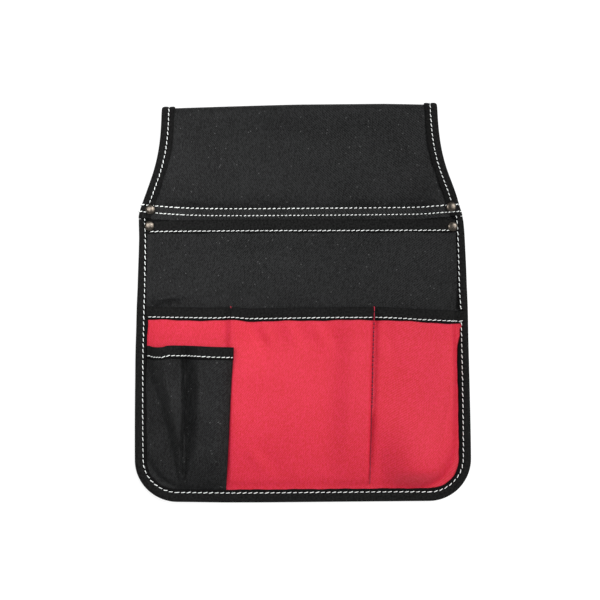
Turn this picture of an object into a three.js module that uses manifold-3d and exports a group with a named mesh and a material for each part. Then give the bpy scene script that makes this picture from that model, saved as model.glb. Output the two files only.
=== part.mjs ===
// Waist tool bag lying on its back, in millimetres.
// X runs across the bag, +Y runs to the belt loop and +Z points out of the front.
import * as THREE from "three";
import { mergeVertices } from "three/addons/utils/BufferGeometryUtils.js";
import Module from "manifold-3d";

// Outline of the whole bag, tape included
const BAG_LENGTH = 297;
const BASE_HALF = 125;
const CORNER_R = 33;
const SHOULDER_H = 212.8;
const SHOULDER_HALF = 119.8;
const SIDE_BOW = 1.74;
const TOP_HALF = 101.3;
const WAIST_REACH = 34;
const WAIST_POWER = 1.5;

// Cloth and tape thicknesses, and the gap that parts one piece from the next
const PANEL = 1.5;
const CLOTH = 1.3;
const TAPE = 1.0;
const GAP = 0.3;
const TAPE_ROUND = 0.6;

// Folded tape, seen from the front: the edge tape's inner line is straight up the sides
const EDGE_TAPE_INNER = 116;
const BASE_LEG = 10;
const LOOP_LEG = 9.5;
const MOUTH_LEG = 10;
const MOUTH_TAPE_HALF = EDGE_TAPE_INNER - 0.5;

// Heights above the lowest edge
const MAIN_MOUTH = 210.7;
const RED_MOUTH = 145.5;
const SMALL_MOUTH = 116.4;
const EDGE_TAPE_END = 211.5;
const FLAP_END = 212;
const FLAP_SEWN = 221;
const FLAP_OPEN = 241;

// Cloth stops short of the outline, inside the tape
const EDGE = TAPE + GAP;
const SEAM_FLAT = 13;
const SWELL_CORNER_R = 46;
const MOUTH_ROOM = TAPE + GAP + 0.1;
const MOUTH_RAMP = 14;
const FADE = 15;

// Levels of the undersides of the cloth at its sewn edges
const FOOT = 0.9;
const PANEL_Z = FOOT + TAPE + GAP;
const MAIN_Z = PANEL_Z + PANEL + GAP;
const LOOP_INNER_TOP = PANEL_Z + PANEL + GAP + TAPE;
const FLAP_SEWN_Z = LOOP_INNER_TOP + GAP + TAPE + GAP;
const BELT_ROOM = 4.6;
const FLAP_OPEN_Z = LOOP_INNER_TOP + BELT_ROOM + TAPE + GAP;

// The back panel lies on the floor inside its sewn edge, and the flap is pressed down between its tapes
const PANEL_SAG = PANEL_Z;
const SAG_INSIDE = 45;
const SAG_FULL_H = 160;
const SAG_END_H = 196;
const FLAP_PRESSED_INSIDE = 38;

// How far each pocket stands off the layer behind it
const MAIN_SWELL = 6;
const RED_SWELL = 8;
const SMALL_SWELL = 8.5;
const SWELL_REACH = 42;
const SWELL_POWER = 2.2;

// Rivets: cap on the front, post through the layers, flat tail behind
const RIVET = { capR: 3.7, capHeight: 2.1, capRim: 0.7, postR: 1.5, tailR: 3, tailThick: 0.6 };
const RIVET_PLACES = [
  { name: "rivet_upper_left", side: -1, inset: 6.9, height: 218.7, layer: "flap" },
  { name: "rivet_upper_right", side: 1, inset: 6.8, height: 218.3, layer: "flap" },
  { name: "rivet_lower_left", side: -1, inset: 7.8, height: 206.6, layer: "main" },
  { name: "rivet_lower_right", side: 1, inset: 7.6, height: 203.9, layer: "main" },
];
const ROUND_STEPS = 12;
const DOME_STEPS = 3;
const DRILL_LENGTH = 60;

// Seams that divide the red pocket, as places across the bag
const STRAIGHT = 88;
const DIVIDER_TOP_H = 145;
const DIVIDER_BASE_H = 10;
const LEFT_DIVIDER = { atMouth: -54.1, atBase: -58.5 };
const RIGHT_DIVIDER = { atMouth: 53.4, atBase: 49.3 };

// Swell of the red pocket between its seams: across 0 to 1 is left to right
const RED_LEFT = [
  { across: 0, swell: 0.75 },
  { across: 0.5, swell: 0.8 },
  { across: 0.85, swell: 0.6 },
  { across: 1, swell: 0 },
];
const RED_MIDDLE = [
  { across: 0, swell: 0 },
  { across: 0.08, swell: 0.8 },
  { across: 0.25, swell: 1 },
  { across: 0.45, swell: 0.88 },
  { across: 0.62, swell: 0.66 },
  { across: 0.7, swell: 0.62 },
  { across: 0.78, swell: 0.68 },
  { across: 0.87, swell: 0.84 },
  { across: 0.93, swell: 0.7 },
  { across: 1, swell: 0 },
];
const RED_RIGHT = [
  { across: 0, swell: 0 },
  { across: 0.14, swell: 0.76 },
  { across: 0.35, swell: 0.84 },
  { across: 0.7, swell: 0.84 },
  { across: 1, swell: 0.72 },
];
const SMALL_ACROSS = [
  { across: 0, swell: 1 },
  { across: 0.6, swell: 1 },
  { across: 0.88, swell: 0.75 },
  { across: 1, swell: 0 },
];

// Folds that run down a pocket: place across at mouth and base, width and height
const RED_RIGHT_FOLDS = [{ atMouth: 0.88, atBase: 0.72, width: 0.085, rise: 1.2 }];
const SMALL_FOLDS = [
  { atMouth: 0.12, atBase: 0.4, width: 0.07, rise: 2.8 },
  { atMouth: 0.34, atBase: 0.45, width: 0.085, rise: -3.2 },
  { atMouth: 0.56, atBase: 0.5, width: 0.07, rise: 2.8 },
];

// Shares that place the columns of the cloth grid between the outline and the seams, closest at the pleat
const LEFT_OUTER_SHARES = [0, 0.34, 0.44, 0.54, 0.64, 0.74, 0.84, 0.94];
const LEFT_SHARES = [0.04, 0.16, 0.28, 0.46, 0.64, 0.82, 0.92];
const MIDDLE_SHARES = [0, 0.08, 0.2, 0.35, 0.5, 0.65, 0.78, 0.87, 0.93];
const RIGHT_SHARES = [0, 0.14, 0.42, 0.72];
const RIGHT_OUTER_SHARES = [0.84, 0.67, 0.5, 0.34, 0];
const CORNER_STEPS = 4;
const PANEL_OUTER_SHARES = [0, 0.34, 0.67];
const PANEL_STEPS = 4;
const FOLD_STEPS = 6;

const { clamp, lerp, smoothstep } = THREE.MathUtils;
const wasm = await Module();
wasm.setup();

// Share of the way from one height to another, held to 0 and 1 outside them
function share(value, from, to) {
  return clamp((value - from) / (to - from), 0, 1);
}

// Smooth curve through a table's rows, with the slope at a row taken from its neighbours
function through(rows, at) {
  const last = rows.length - 1;
  const place = clamp(at, rows[0].across, rows[last].across);
  let i = 0;
  while (i < last - 1 && place > rows[i + 1].across) {
    i += 1;
  }
  const slope = (k) => {
    const before = rows[Math.max(k - 1, 0)];
    const after = rows[Math.min(k + 1, last)];
    return (after.swell - before.swell) / (after.across - before.across);
  };
  const span = rows[i + 1].across - rows[i].across;
  const t = (place - rows[i].across) / span;
  const ends = lerp(rows[i].swell, rows[i + 1].swell, t * t * (3 - 2 * t));
  return ends + span * t * (1 - t) * (slope(i) * (1 - t) - slope(i + 1) * t);
}

// Half width of the bag, tape included
function bagHalf(h) {
  if (h < CORNER_R) {
    return BASE_HALF - CORNER_R + Math.sqrt(CORNER_R ** 2 - (CORNER_R - h) ** 2);
  }
  if (h < SHOULDER_H) {
    const up = share(h, CORNER_R, SHOULDER_H);
    return BASE_HALF - (BASE_HALF - SHOULDER_HALF) * up ** SIDE_BOW;
  }
  const waist = ((h - SHOULDER_H) / WAIST_REACH) ** WAIST_POWER;
  return TOP_HALF + (SHOULDER_HALF - TOP_HALF) * Math.exp(-waist);
}

// Half width of the cloth inside the tape
function clothHalf(h) {
  if (h >= CORNER_R) {
    return bagHalf(h) - EDGE;
  }
  const clothR = CORNER_R - EDGE;
  const rise = Math.min(CORNER_R - h, clothR);
  return BASE_HALF - CORNER_R + Math.sqrt(clothR ** 2 - rise ** 2);
}

// Distance of a place from the sides and base, with the corners rounder than the outline's
function inset(x, h) {
  const side = bagHalf(Math.max(h, CORNER_R)) - Math.abs(x);
  const overX = SWELL_CORNER_R - side;
  const overY = SWELL_CORNER_R - h;
  if (overX > 0 && overY > 0) {
    return SWELL_CORNER_R - Math.hypot(overX, overY);
  }
  return Math.min(side, h);
}

function dividerX(divider, h) {
  return lerp(divider.atBase, divider.atMouth, (h - DIVIDER_BASE_H) / (DIVIDER_TOP_H - DIVIDER_BASE_H));
}

// Places across the bag of the cloth columns at one height
function columnsAt(h) {
  const half = clothHalf(h);
  const left = dividerX(LEFT_DIVIDER, h);
  const right = dividerX(RIGHT_DIVIDER, h);
  return [
    ...LEFT_OUTER_SHARES.map((s) => lerp(-half, -STRAIGHT, s)),
    ...LEFT_SHARES.map((s) => lerp(-STRAIGHT, left, s)),
    ...MIDDLE_SHARES.map((s) => lerp(left, right, s)),
    ...RIGHT_SHARES.map((s) => lerp(right, STRAIGHT, s)),
    ...RIGHT_OUTER_SHARES.map((s) => lerp(half, STRAIGHT, s)),
  ];
}

// Columns of the small pocket: those up to the left seam
function smallColumnsAt(h) {
  return columnsAt(h).slice(0, LEFT_OUTER_SHARES.length + LEFT_SHARES.length + 1);
}

// Rise of a pocket from its sewn edge, 0 at the edge to 1 well inside
function swellFrom(x, h) {
  const t = share(inset(x, h), SEAM_FLAT, SEAM_FLAT + SWELL_REACH);
  return 1 - (1 - t) ** SWELL_POWER;
}

// Room that the inner leg of a mouth tape takes under a pocket wall
function mouthLift(h, mouth) {
  return MOUTH_ROOM * share(h, mouth - MOUTH_LEG - MOUTH_RAMP, mouth - MOUTH_LEG);
}

function foldsAt(folds, across, down) {
  let rise = 0;
  for (const fold of folds) {
    const away = (across - lerp(fold.atMouth, fold.atBase, down)) / fold.width;
    rise += fold.rise * Math.exp(-away * away);
  }
  return rise;
}

function mainUnder(x, h) {
  const level = Math.min(h, MAIN_MOUTH - MOUTH_LEG);
  return MAIN_Z + mouthLift(h, MAIN_MOUTH) + MAIN_SWELL * swellFrom(x, level);
}

// Red pocket: three sections between the sides and the two seams
function redSwell(x, h) {
  const left = dividerX(LEFT_DIVIDER, h);
  const right = dividerX(RIGHT_DIVIDER, h);
  const side = bagHalf(Math.max(h, CORNER_R)) - SEAM_FLAT;
  const down = 1 - h / RED_MOUTH;
  if (x < left) {
    return RED_SWELL * through(RED_LEFT, share(x, -side, left));
  }
  if (x < right) {
    return RED_SWELL * through(RED_MIDDLE, share(x, left, right));
  }
  const across = share(x, right, side);
  return RED_SWELL * through(RED_RIGHT, across) + foldsAt(RED_RIGHT_FOLDS, across, down);
}

function redUnder(x, h) {
  const level = Math.min(h, RED_MOUTH - MOUTH_LEG);
  const swell = Math.max(0, redSwell(x, level)) * swellFrom(x, level);
  return mainUnder(x, h) + CLOTH + GAP + mouthLift(h, RED_MOUTH) + swell;
}

// Small pocket: one section with a pleat down its middle
function smallUnder(x, h) {
  const level = Math.min(h, SMALL_MOUTH - MOUTH_LEG);
  const side = bagHalf(Math.max(level, CORNER_R)) - SEAM_FLAT;
  const across = share(x, -side, dividerX(LEFT_DIVIDER, level));
  const down = 1 - level / SMALL_MOUTH;
  const shape = SMALL_SWELL * through(SMALL_ACROSS, across) + foldsAt(SMALL_FOLDS, across, down);
  const swell = Math.max(0, shape) * swellFrom(x, level);
  return redUnder(x, h) + CLOTH + GAP + mouthLift(h, SMALL_MOUTH) + swell;
}

// Level of the topmost cloth at the sewn edge, which the edge tape must clear
function stackTop(x, h) {
  const red = 1 - share(h, RED_MOUTH, RED_MOUTH + FADE);
  const base = LEFT_DIVIDER.atBase;
  const small = (1 - share(h, SMALL_MOUTH, SMALL_MOUTH + FADE)) * (1 - share(x, base, base + FADE));
  const main = MAIN_Z + CLOTH + mouthLift(h, MAIN_MOUTH);
  const overRed = red * (CLOTH + GAP + mouthLift(h, RED_MOUTH));
  return main + overRed + small * (CLOTH + GAP + mouthLift(h, SMALL_MOUTH));
}

// Back panel and flap are one cloth that turns over at the belt loop
function panelMid(x, h) {
  const inside = smoothstep(inset(x, h), SEAM_FLAT, SAG_INSIDE);
  const sag = PANEL_SAG * inside * (1 - smoothstep(h, SAG_FULL_H, SAG_END_H));
  return PANEL_Z + PANEL / 2 - sag;
}

function flapMid(x, h) {
  const inside = smoothstep(bagHalf(h) - Math.abs(x), SEAM_FLAT, FLAP_PRESSED_INSIDE);
  const sewn = lerp(FLAP_SEWN_Z, MAIN_Z, inside);
  return lerp(sewn, FLAP_OPEN_Z, smoothstep(h, FLAP_SEWN, FLAP_OPEN)) + PANEL / 2;
}

const FOLD_R = (FLAP_OPEN_Z - PANEL_Z) / 2;
const FOLD_H = BAG_LENGTH - EDGE - PANEL / 2 - FOLD_R;

// Heights of the cloth rows: the corner's arc first, then a few up the bag
const CORNER_ROWS = Array.from({ length: CORNER_STEPS + 1 }, (_, i) => {
  return CORNER_R - (CORNER_R - EDGE) * Math.cos((i * Math.PI) / (2 * CORNER_STEPS));
});
function mouthRows(mouth) {
  return [mouth - MOUTH_LEG - MOUTH_RAMP, mouth - MOUTH_LEG, mouth - EDGE];
}
const POCKET_ROWS = [
  ...CORNER_ROWS,
  47,
  62,
  78,
  ...mouthRows(SMALL_MOUTH),
  ...mouthRows(RED_MOUTH),
  163,
  ...mouthRows(MAIN_MOUTH),
];
const PANEL_ROWS = [...CORNER_ROWS, 60, 95, 130, 160, 172, 184, 196];
const LOOP_ROWS = [FLAP_END, FLAP_SEWN, 226, 231, 236, FLAP_OPEN, 256, 273, FOLD_H];

// Geometry from a list of points and triangles, turned outward if need be
function closed(points, faces) {
  let volume = 0;
  for (const [a, b, c] of faces) {
    volume += points[a].dot(new THREE.Vector3().crossVectors(points[b], points[c]));
  }
  const turned = volume < 0 ? faces.map(([a, b, c]) => [a, c, b]) : faces;
  const geometry = new THREE.BufferGeometry().setFromPoints(points);
  geometry.setIndex(turned.flat());
  return geometry;
}

// Cloth wall between two grids of points that face each other
function wall(front, back) {
  const rows = front.length;
  const columns = front[0].length;
  const points = [...front.flat(), ...back.flat()];
  const at = (side, i, j) => side * rows * columns + i * columns + j;
  const faces = [];
  const quad = (a, b, c, d) => faces.push([a, b, c], [a, c, d]);
  for (let i = 0; i < rows - 1; i += 1) {
    for (let j = 0; j < columns - 1; j += 1) {
      quad(at(0, i, j), at(0, i, j + 1), at(0, i + 1, j + 1), at(0, i + 1, j));
      quad(at(1, i, j), at(1, i + 1, j), at(1, i + 1, j + 1), at(1, i, j + 1));
    }
    quad(at(0, i, 0), at(0, i + 1, 0), at(1, i + 1, 0), at(1, i, 0));
    const end = columns - 1;
    quad(at(0, i, end), at(1, i, end), at(1, i + 1, end), at(0, i + 1, end));
  }
  for (let j = 0; j < columns - 1; j += 1) {
    quad(at(0, 0, j), at(1, 0, j), at(1, 0, j + 1), at(0, 0, j + 1));
    const end = rows - 1;
    quad(at(0, end, j), at(0, end, j + 1), at(1, end, j + 1), at(1, end, j));
  }
  return closed(points, faces);
}

// Pocket wall over the cloth grid, up to its mouth
function pocket(under, mouth, columns) {
  const heights = POCKET_ROWS.filter((h) => h <= mouth - EDGE + 0.001);
  const grid = (lift) =>
    heights.map((h) => columns(h).map((x) => new THREE.Vector3(x, h, under(x, h) + lift)));
  return wall(grid(CLOTH), grid(0));
}

// Ring of points around a tape folded over an edge: inward and normal are the directions of
// its legs and its thickness, low and high the levels of the cloth that it holds
function tapeSection(edge, inward, normal, low, high, leg) {
  const ring = [
    [leg, low - TAPE],
    [TAPE_ROUND, low - TAPE],
    [0, low - TAPE + TAPE_ROUND],
    [0, high + TAPE - TAPE_ROUND],
    [TAPE_ROUND, high + TAPE],
    [leg, high + TAPE],
    [leg, high],
    [TAPE, high],
    [TAPE, low],
    [leg, low],
  ];
  return ring.map(([a, b]) => edge.clone().addScaledVector(inward, a).addScaledVector(normal, b));
}

// Solid through a run of tape sections, closed at both ends
function tape(sections) {
  const count = sections[0].length;
  const points = sections.flat();
  const faces = [];
  for (let i = 0; i < sections.length - 1; i += 1) {
    for (let j = 0; j < count; j += 1) {
      const k = (j + 1) % count;
      const a = i * count + j;
      const b = i * count + k;
      faces.push([a, b, b + count], [a, b + count, a + count]);
    }
  }
  // The end is a back with a leg at each side
  const back = [[1, 2, 8], [2, 3, 8], [3, 7, 8], [3, 4, 7]];
  const legs = [[0, 1, 8], [0, 8, 9], [4, 5, 7], [5, 6, 7]];
  const end = points.length - count;
  for (const [a, b, c] of [...back, ...legs]) {
    faces.push([a, c, b], [end + a, end + b, end + c]);
  }
  return closed(points, faces);
}

const UP = new THREE.Vector3(0, 0, 1);

// Tape over the mouth of a pocket, from the edge tape to a column or to the other edge tape
function mouthTape(under, mouth, columns) {
  const heights = [mouth - EDGE, mouth - MOUTH_LEG];
  const [upper, lower] = heights.map((h) => columns(h));
  const runs = upper.map((x, j) => [x, lower[j]]).filter(([x]) => Math.abs(x) < MOUTH_TAPE_HALF - 1);
  runs.unshift([-MOUTH_TAPE_HALF, -MOUTH_TAPE_HALF]);
  if (upper[upper.length - 1] > MOUTH_TAPE_HALF) {
    runs.push([MOUTH_TAPE_HALF, MOUTH_TAPE_HALF]);
  }
  const sections = runs.map((run) => {
    const [top, low] = run.map((x, k) => new THREE.Vector3(x, heights[k], under(x, heights[k])));
    const down = low.sub(top).divideScalar(MOUTH_LEG - EDGE);
    const edge = top.addScaledVector(down, -EDGE);
    return tapeSection(edge, down, UP, -GAP, CLOTH + GAP, MOUTH_LEG);
  });
  return tape(sections);
}

// Edge tape: down the left side, round the base and up the right side
function edgeTape() {
  const cornerX = BASE_HALF - CORNER_R;
  const sideRows = [
    ...POCKET_ROWS.filter((h) => h > CORNER_R + 1 && h < MAIN_MOUTH - MOUTH_LEG + 1),
    SMALL_MOUTH,
    SMALL_MOUTH + FADE,
    RED_MOUTH,
    RED_MOUTH + FADE,
    EDGE_TAPE_END,
  ].sort((a, b) => a - b);
  const side = (sign) =>
    sideRows.map((h) => ({
      edge: new THREE.Vector3(sign * bagHalf(h), h, 0),
      inward: new THREE.Vector3(-sign, 0, 0),
      leg: bagHalf(h) - EDGE_TAPE_INNER,
    }));
  const corner = (sign) =>
    Array.from({ length: 2 * CORNER_STEPS + 1 }, (_, i) => {
      const turn = (i * Math.PI) / (4 * CORNER_STEPS);
      const out = new THREE.Vector3(sign * Math.sin(turn), -Math.cos(turn), 0);
      const edge = new THREE.Vector3(sign * cornerX, CORNER_R, 0).addScaledVector(out, CORNER_R);
      const leg = lerp(BASE_LEG, BASE_HALF - EDGE_TAPE_INNER, Math.sin(turn));
      return { edge, inward: out.negate(), leg };
    });
  const base = [LEFT_DIVIDER.atBase, LEFT_DIVIDER.atBase + FADE, 0, 0.5 * cornerX].map((x) => ({
    edge: new THREE.Vector3(x, 0, 0),
    inward: new THREE.Vector3(0, 1, 0),
    leg: BASE_LEG,
  }));
  const stations = [
    ...side(-1).reverse(),
    ...corner(-1).reverse(),
    ...base,
    ...corner(1),
    ...side(1),
  ];
  const sections = stations.map(({ edge, inward, leg }) => {
    const top = stackTop(edge.x, edge.y);
    return tapeSection(edge, inward, UP, PANEL_Z - GAP, top + GAP, leg);
  });
  return tape(sections);
}

// Stations along the cloth that turns over at the belt loop, from the shoulder up the back,
// round the fold and down the flap: height, outward normal and level of the cloth's middle
function loopStations() {
  const up = LOOP_ROWS.map((h) => ({ h, y: h, normal: [0, -1], mid: (x) => panelMid(x, h) }));
  const over = Array.from({ length: FOLD_STEPS - 1 }, (_, i) => {
    const turn = ((i + 1) * Math.PI) / FOLD_STEPS;
    const middle = (PANEL_Z + FLAP_OPEN_Z + PANEL) / 2;
    const normal = [Math.sin(turn), -Math.cos(turn)];
    const y = FOLD_H + FOLD_R * normal[0];
    return { h: y, y, normal, mid: () => middle + FOLD_R * normal[1] };
  });
  const down = LOOP_ROWS.map((h) => ({ h, y: h, normal: [0, 1], mid: (x) => flapMid(x, h) }));
  return [...up, ...over, ...down.reverse()];
}

function backPanel() {
  const body = PANEL_ROWS.map((h) => ({ h, y: h, normal: [0, -1], mid: (x) => panelMid(x, h) }));
  const stations = [...body, ...loopStations()];
  const across = Array.from({ length: PANEL_STEPS + 1 }, (_, i) => {
    return lerp(-STRAIGHT, STRAIGHT, i / PANEL_STEPS);
  });
  const columns = (h) => {
    const half = clothHalf(h);
    const outer = PANEL_OUTER_SHARES.map((s) => lerp(half, STRAIGHT, s));
    return [...outer.map((x) => -x), ...across, ...outer.reverse()];
  };
  const grid = (side) =>
    stations.map(({ h, y, normal, mid }) =>
      columns(h).map((x) => {
        const off = (side * PANEL) / 2;
        return new THREE.Vector3(x, y + normal[0] * off, mid(x) + normal[1] * off);
      }),
    );
  return wall(grid(1), grid(-1));
}

// Tape on one side of the belt loop, over the fold and down the flap
function loopTape(sign) {
  const inward = new THREE.Vector3(-sign, 0, 0);
  const hold = PANEL / 2 + GAP;
  const sections = loopStations().map(({ h, y, normal, mid }) => {
    const x = sign * bagHalf(h);
    const edge = new THREE.Vector3(x, y, mid(x));
    return tapeSection(edge, inward, new THREE.Vector3(0, ...normal), -hold, hold, LOOP_LEG);
  });
  return tape(sections);
}

// Level on which a rivet's cap sits
function rivetSeat(place) {
  const x = place.side * (bagHalf(place.height) - place.inset);
  const flapTop = flapMid(x, place.height) + PANEL / 2;
  const mainTop = mainUnder(x, place.height) + CLOTH;
  const cloth = place.layer === "flap" ? flapTop : mainTop;
  return { x, seat: cloth + GAP + TAPE + GAP };
}

function rivet(place) {
  const { x, seat } = rivetSeat(place);
  const dome = Array.from({ length: DOME_STEPS }, (_, i) => {
    const turn = (i * Math.PI) / (2 * DOME_STEPS);
    const up = RIVET.capRim + (RIVET.capHeight - RIVET.capRim) * Math.sin(turn);
    return new THREE.Vector2(RIVET.capR * Math.cos(turn), seat + up);
  });
  const outline = [
    new THREE.Vector2(0, 0),
    new THREE.Vector2(RIVET.tailR, 0),
    new THREE.Vector2(RIVET.tailR, RIVET.tailThick),
    new THREE.Vector2(RIVET.postR, RIVET.tailThick),
    new THREE.Vector2(RIVET.postR, seat),
    new THREE.Vector2(RIVET.capR, seat),
    ...dome,
    new THREE.Vector2(0, seat + RIVET.capHeight),
  ];
  const turned = new THREE.LatheGeometry(outline, ROUND_STEPS);
  turned.rotateX(Math.PI / 2);
  return turned.translate(x, place.height, 0);
}

// Solid that add, subtract and intersect work on
function solid(geometry) {
  const bare = new THREE.BufferGeometry();
  bare.setAttribute("position", geometry.getAttribute("position"));
  bare.setIndex(geometry.getIndex());
  const merged = mergeVertices(bare, 1e-4);
  const index = merged.getIndex().array;
  const triangles = [];
  for (let i = 0; i < index.length; i += 3) {
    const corners = [index[i], index[i + 1], index[i + 2]];
    if (new Set(corners).size === 3) {
      triangles.push(...corners);
    }
  }
  const mesh = new wasm.Mesh({
    numProp: 3,
    vertProperties: new Float32Array(merged.getAttribute("position").array),
    triVerts: new Uint32Array(triangles),
  });
  return new wasm.Manifold(mesh);
}

function geometryOf(body) {
  const mesh = body.getMesh();
  const geometry = new THREE.BufferGeometry();
  geometry.setAttribute("position", new THREE.BufferAttribute(new Float32Array(mesh.vertProperties), 3));
  geometry.setIndex(new THREE.BufferAttribute(new Uint32Array(mesh.triVerts), 1));
  return geometry;
}

// Holes for the rivet posts through one piece
function drilled(geometry, places) {
  let body = solid(geometry);
  for (const place of places) {
    const post = new THREE.CylinderGeometry(RIVET.postR + GAP, RIVET.postR + GAP, DRILL_LENGTH, ROUND_STEPS);
    post.rotateX(Math.PI / 2);
    post.translate(rivetSeat(place).x, place.height, 0);
    body = body.subtract(solid(post));
  }
  return geometryOf(body);
}

const MATERIALS = {
  black_cloth: new THREE.MeshStandardMaterial({ color: 0x2e2e2f, roughness: 0.9 }),
  red_cloth: new THREE.MeshStandardMaterial({ color: 0xdd3b4f, roughness: 0.85 }),
  black_tape: new THREE.MeshStandardMaterial({ color: 0x20201f, roughness: 0.85 }),
  rivet_metal: new THREE.MeshStandardMaterial({ color: 0x8a7a66, roughness: 0.35, metalness: 1 }),
};

const bag = new THREE.Group();
bag.name = "waist_tool_bag";

// Every node is named for what it is, with the origin under the middle of the bag
function add(name, geometry, material) {
  const node = new THREE.Mesh(geometry.translate(0, -BAG_LENGTH / 2, 0), MATERIALS[material]);
  node.name = name;
  node.geometry.computeVertexNormals();
  bag.add(node);
}

const upper = RIVET_PLACES.filter((place) => place.layer === "flap");
const lower = RIVET_PLACES.filter((place) => place.layer === "main");
add("back_panel", drilled(backPanel(), RIVET_PLACES), "black_cloth");
add("main_pocket", drilled(pocket(mainUnder, MAIN_MOUTH, columnsAt), lower), "black_cloth");
add("red_pocket", pocket(redUnder, RED_MOUTH, columnsAt), "red_cloth");
add("small_pocket", pocket(smallUnder, SMALL_MOUTH, smallColumnsAt), "black_cloth");
add("main_pocket_binding", drilled(mouthTape(mainUnder, MAIN_MOUTH, columnsAt), lower), "black_tape");
add("red_pocket_binding", mouthTape(redUnder, RED_MOUTH, columnsAt), "black_tape");
add("small_pocket_binding", mouthTape(smallUnder, SMALL_MOUTH, smallColumnsAt), "black_tape");
add("edge_binding", edgeTape(), "black_tape");
add("loop_binding_left", drilled(loopTape(-1), upper.slice(0, 1)), "black_tape");
add("loop_binding_right", drilled(loopTape(1), upper.slice(1)), "black_tape");
for (const place of RIVET_PLACES) {
  add(place.name, geometryOf(solid(rivet(place))), "rivet_metal");
}

export default bag;
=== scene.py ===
"""Waist tool bag in black and red cloth, lying on its back.

Shapes are worked out in millimetres: x across the bag, h up from its lowest edge and z out of its front.
"""

import math
from collections import namedtuple
from functools import partial, partialmethod

import bmesh
import bpy
import numpy as np
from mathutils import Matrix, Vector


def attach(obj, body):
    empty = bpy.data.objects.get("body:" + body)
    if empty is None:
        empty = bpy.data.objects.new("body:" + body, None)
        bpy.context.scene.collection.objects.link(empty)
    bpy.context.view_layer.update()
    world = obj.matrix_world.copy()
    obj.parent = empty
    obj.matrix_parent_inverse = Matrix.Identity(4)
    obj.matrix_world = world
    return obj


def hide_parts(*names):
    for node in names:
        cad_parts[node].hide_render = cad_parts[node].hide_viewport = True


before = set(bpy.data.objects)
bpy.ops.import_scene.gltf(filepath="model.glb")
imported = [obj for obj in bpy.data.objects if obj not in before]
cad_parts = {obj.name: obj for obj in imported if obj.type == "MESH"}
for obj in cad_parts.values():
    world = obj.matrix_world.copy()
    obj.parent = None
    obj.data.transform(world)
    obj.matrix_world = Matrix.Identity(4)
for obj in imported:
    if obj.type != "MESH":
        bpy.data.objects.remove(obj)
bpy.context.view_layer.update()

MM = 0.001
UP = np.array([0.0, 0.0, 1.0])

# Outline of the bag, tape included
BAG_LENGTH = 297.0
BASE_HALF = 125.0
CORNER_R = 31.5
SHOULDER_H = 212.8
SHOULDER_HALF = 119.8
SIDE_BOW = 1.74
TOP_HALF = 101.3
WAIST_REACH = 34.0
WAIST_POWER = 1.5

# Where the outline isn't even: size of a shift, and the places up and across the bag where it shows
LEFT_BOW = {"size": 0.9, "up": (195, 215), "across": (30, 115)}
RIGHT_BOW = {"size": 1.2, "middle": 185, "reach": 55, "across": (30, 115)}
SHOULDER_CUT = {"size": 1.2, "middle": 218, "reach": 8}
LEFT_LIFT = {"size": 1.2, "up": (0, 60), "across": (30, 110)}

# Thicknesses, and the gap that parts one layer from the next
PANEL = 1.5
CLOTH = 1.3
TAPE = 1.0
GAP = 0.3
EDGE = TAPE + GAP
SEAT = 0.15

# Levels of the undersides of the cloth at its sewn edges
PANEL_Z = 2.2
MAIN_Z = 4.0
FLAP_SEWN_Z = 6.6
FLAP_OPEN_Z = 10.9
FOLD_R = (FLAP_OPEN_Z - PANEL_Z) / 2
FOLD_H = BAG_LENGTH - EDGE - PANEL / 2 - FOLD_R

# Heights above the lowest edge
MAIN_MOUTH = 210.7
RED_MOUTH = 145.5
SMALL_MOUTH = 116.4
EDGE_TAPE_END = 211.5
FLAP_END = 212.0
FLAP_SEWN = 221.0
FLAP_FINE_END = 232.0
FLAP_OPEN = 241.0

# Widths of the tape that shows from the front
EDGE_TAPE_INNER = 116.0
EDGE_LEG_LEAST = 5.8
BASE_LEG = 9.7
LOOP_LEG = 9.5
MOUTH_LEG = 10.0
MOUTH_LEG_SHORT = 0.3
NARROW_BY = 0.5

# Spare width of the edge tape up each side: height, width
LEFT_FLARE = [
    (40, 0), (96, 0), (108, 0.7), (118, 0.9), (132, 1.6), (142, 2.0), (145.5, 2.0), (147.5, 0), (160, 0),
]
RIGHT_FLARE = [
    (40, 0), (80, 0.3), (104, 0.9), (114, 0.7), (124, -1.3), (129, -2.0), (131.5, -2.3), (132.5, -3.1),
    (142.3, -3.1), (143.2, 0), (160, 0),
]

# Waves in the width of the tapes: height, length over two pi, phase
EDGE_WAVES = [(0.13, 5.3, 0), (0.1, 2.1, 1)]
LOOP_WAVES = [(0.25, 6.1, 0), (0.15, 2.4, 0)]
MOUTH_WAVES = [(0.25, 7.3, 0), (0.15, 2.9, 2)]

# Section of a folded tape: it puffs before and beyond its row of stitches, where the thread pulls it in
TAPE_ROUND = 1.3
TAPE_PUFF = 0.32
LIP_PUFF = 0.14
LIP_DROP = {"depth": 0.3, "reach": 0.5}
LIP_LEAST = 1.1
# Shade painted darker on the lip of a tape, beyond its row of stitches: where it starts and where it is full,
# from the row, and its share on the belt loop tapes
LIP_SHADE = {"start": -0.5, "full": 0.7, "loop": 0.4}
THREAD_PULL = {"depth": 0.42, "reach": 0.85, "mean": 0.75, "swing": 0.25}

# How the cloth leaves its sewn edges
SEAM_FLAT = 13.0
SWELL_CORNER_R = 46.0
SWELL_START = 8.5
SWELL_POWER = 2.2
SOFT_LEAD = 1.0
SOFT_EDGE = {"low": 8.5, "high": 4.5, "high_h": 110.0}
MAIN_REACH = {"side": 85.0, "base": 70.0}
RED_REACH = {"side": 6.5, "base": 72.0}
SMALL_REACH = 26.0
SMALL_SOFT = 2.0
MAIN_SWELL = 6.0
RED_SWELL = 8.0
MOUTH_ROOM = 1.4
MOUTH_RAMP = 14.0
FADE = 15.0

# Soft unevenness of each cloth: height, length, seed
UNEVEN = {"main": (0.5, 95, 11), "red": (0.35, 60, 23), "small": (0.4, 34, 31), "flap": (0.45, 90, 47)}
WAVES = 6
WAVE_STRETCH = (0.6, 1.6)

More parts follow.
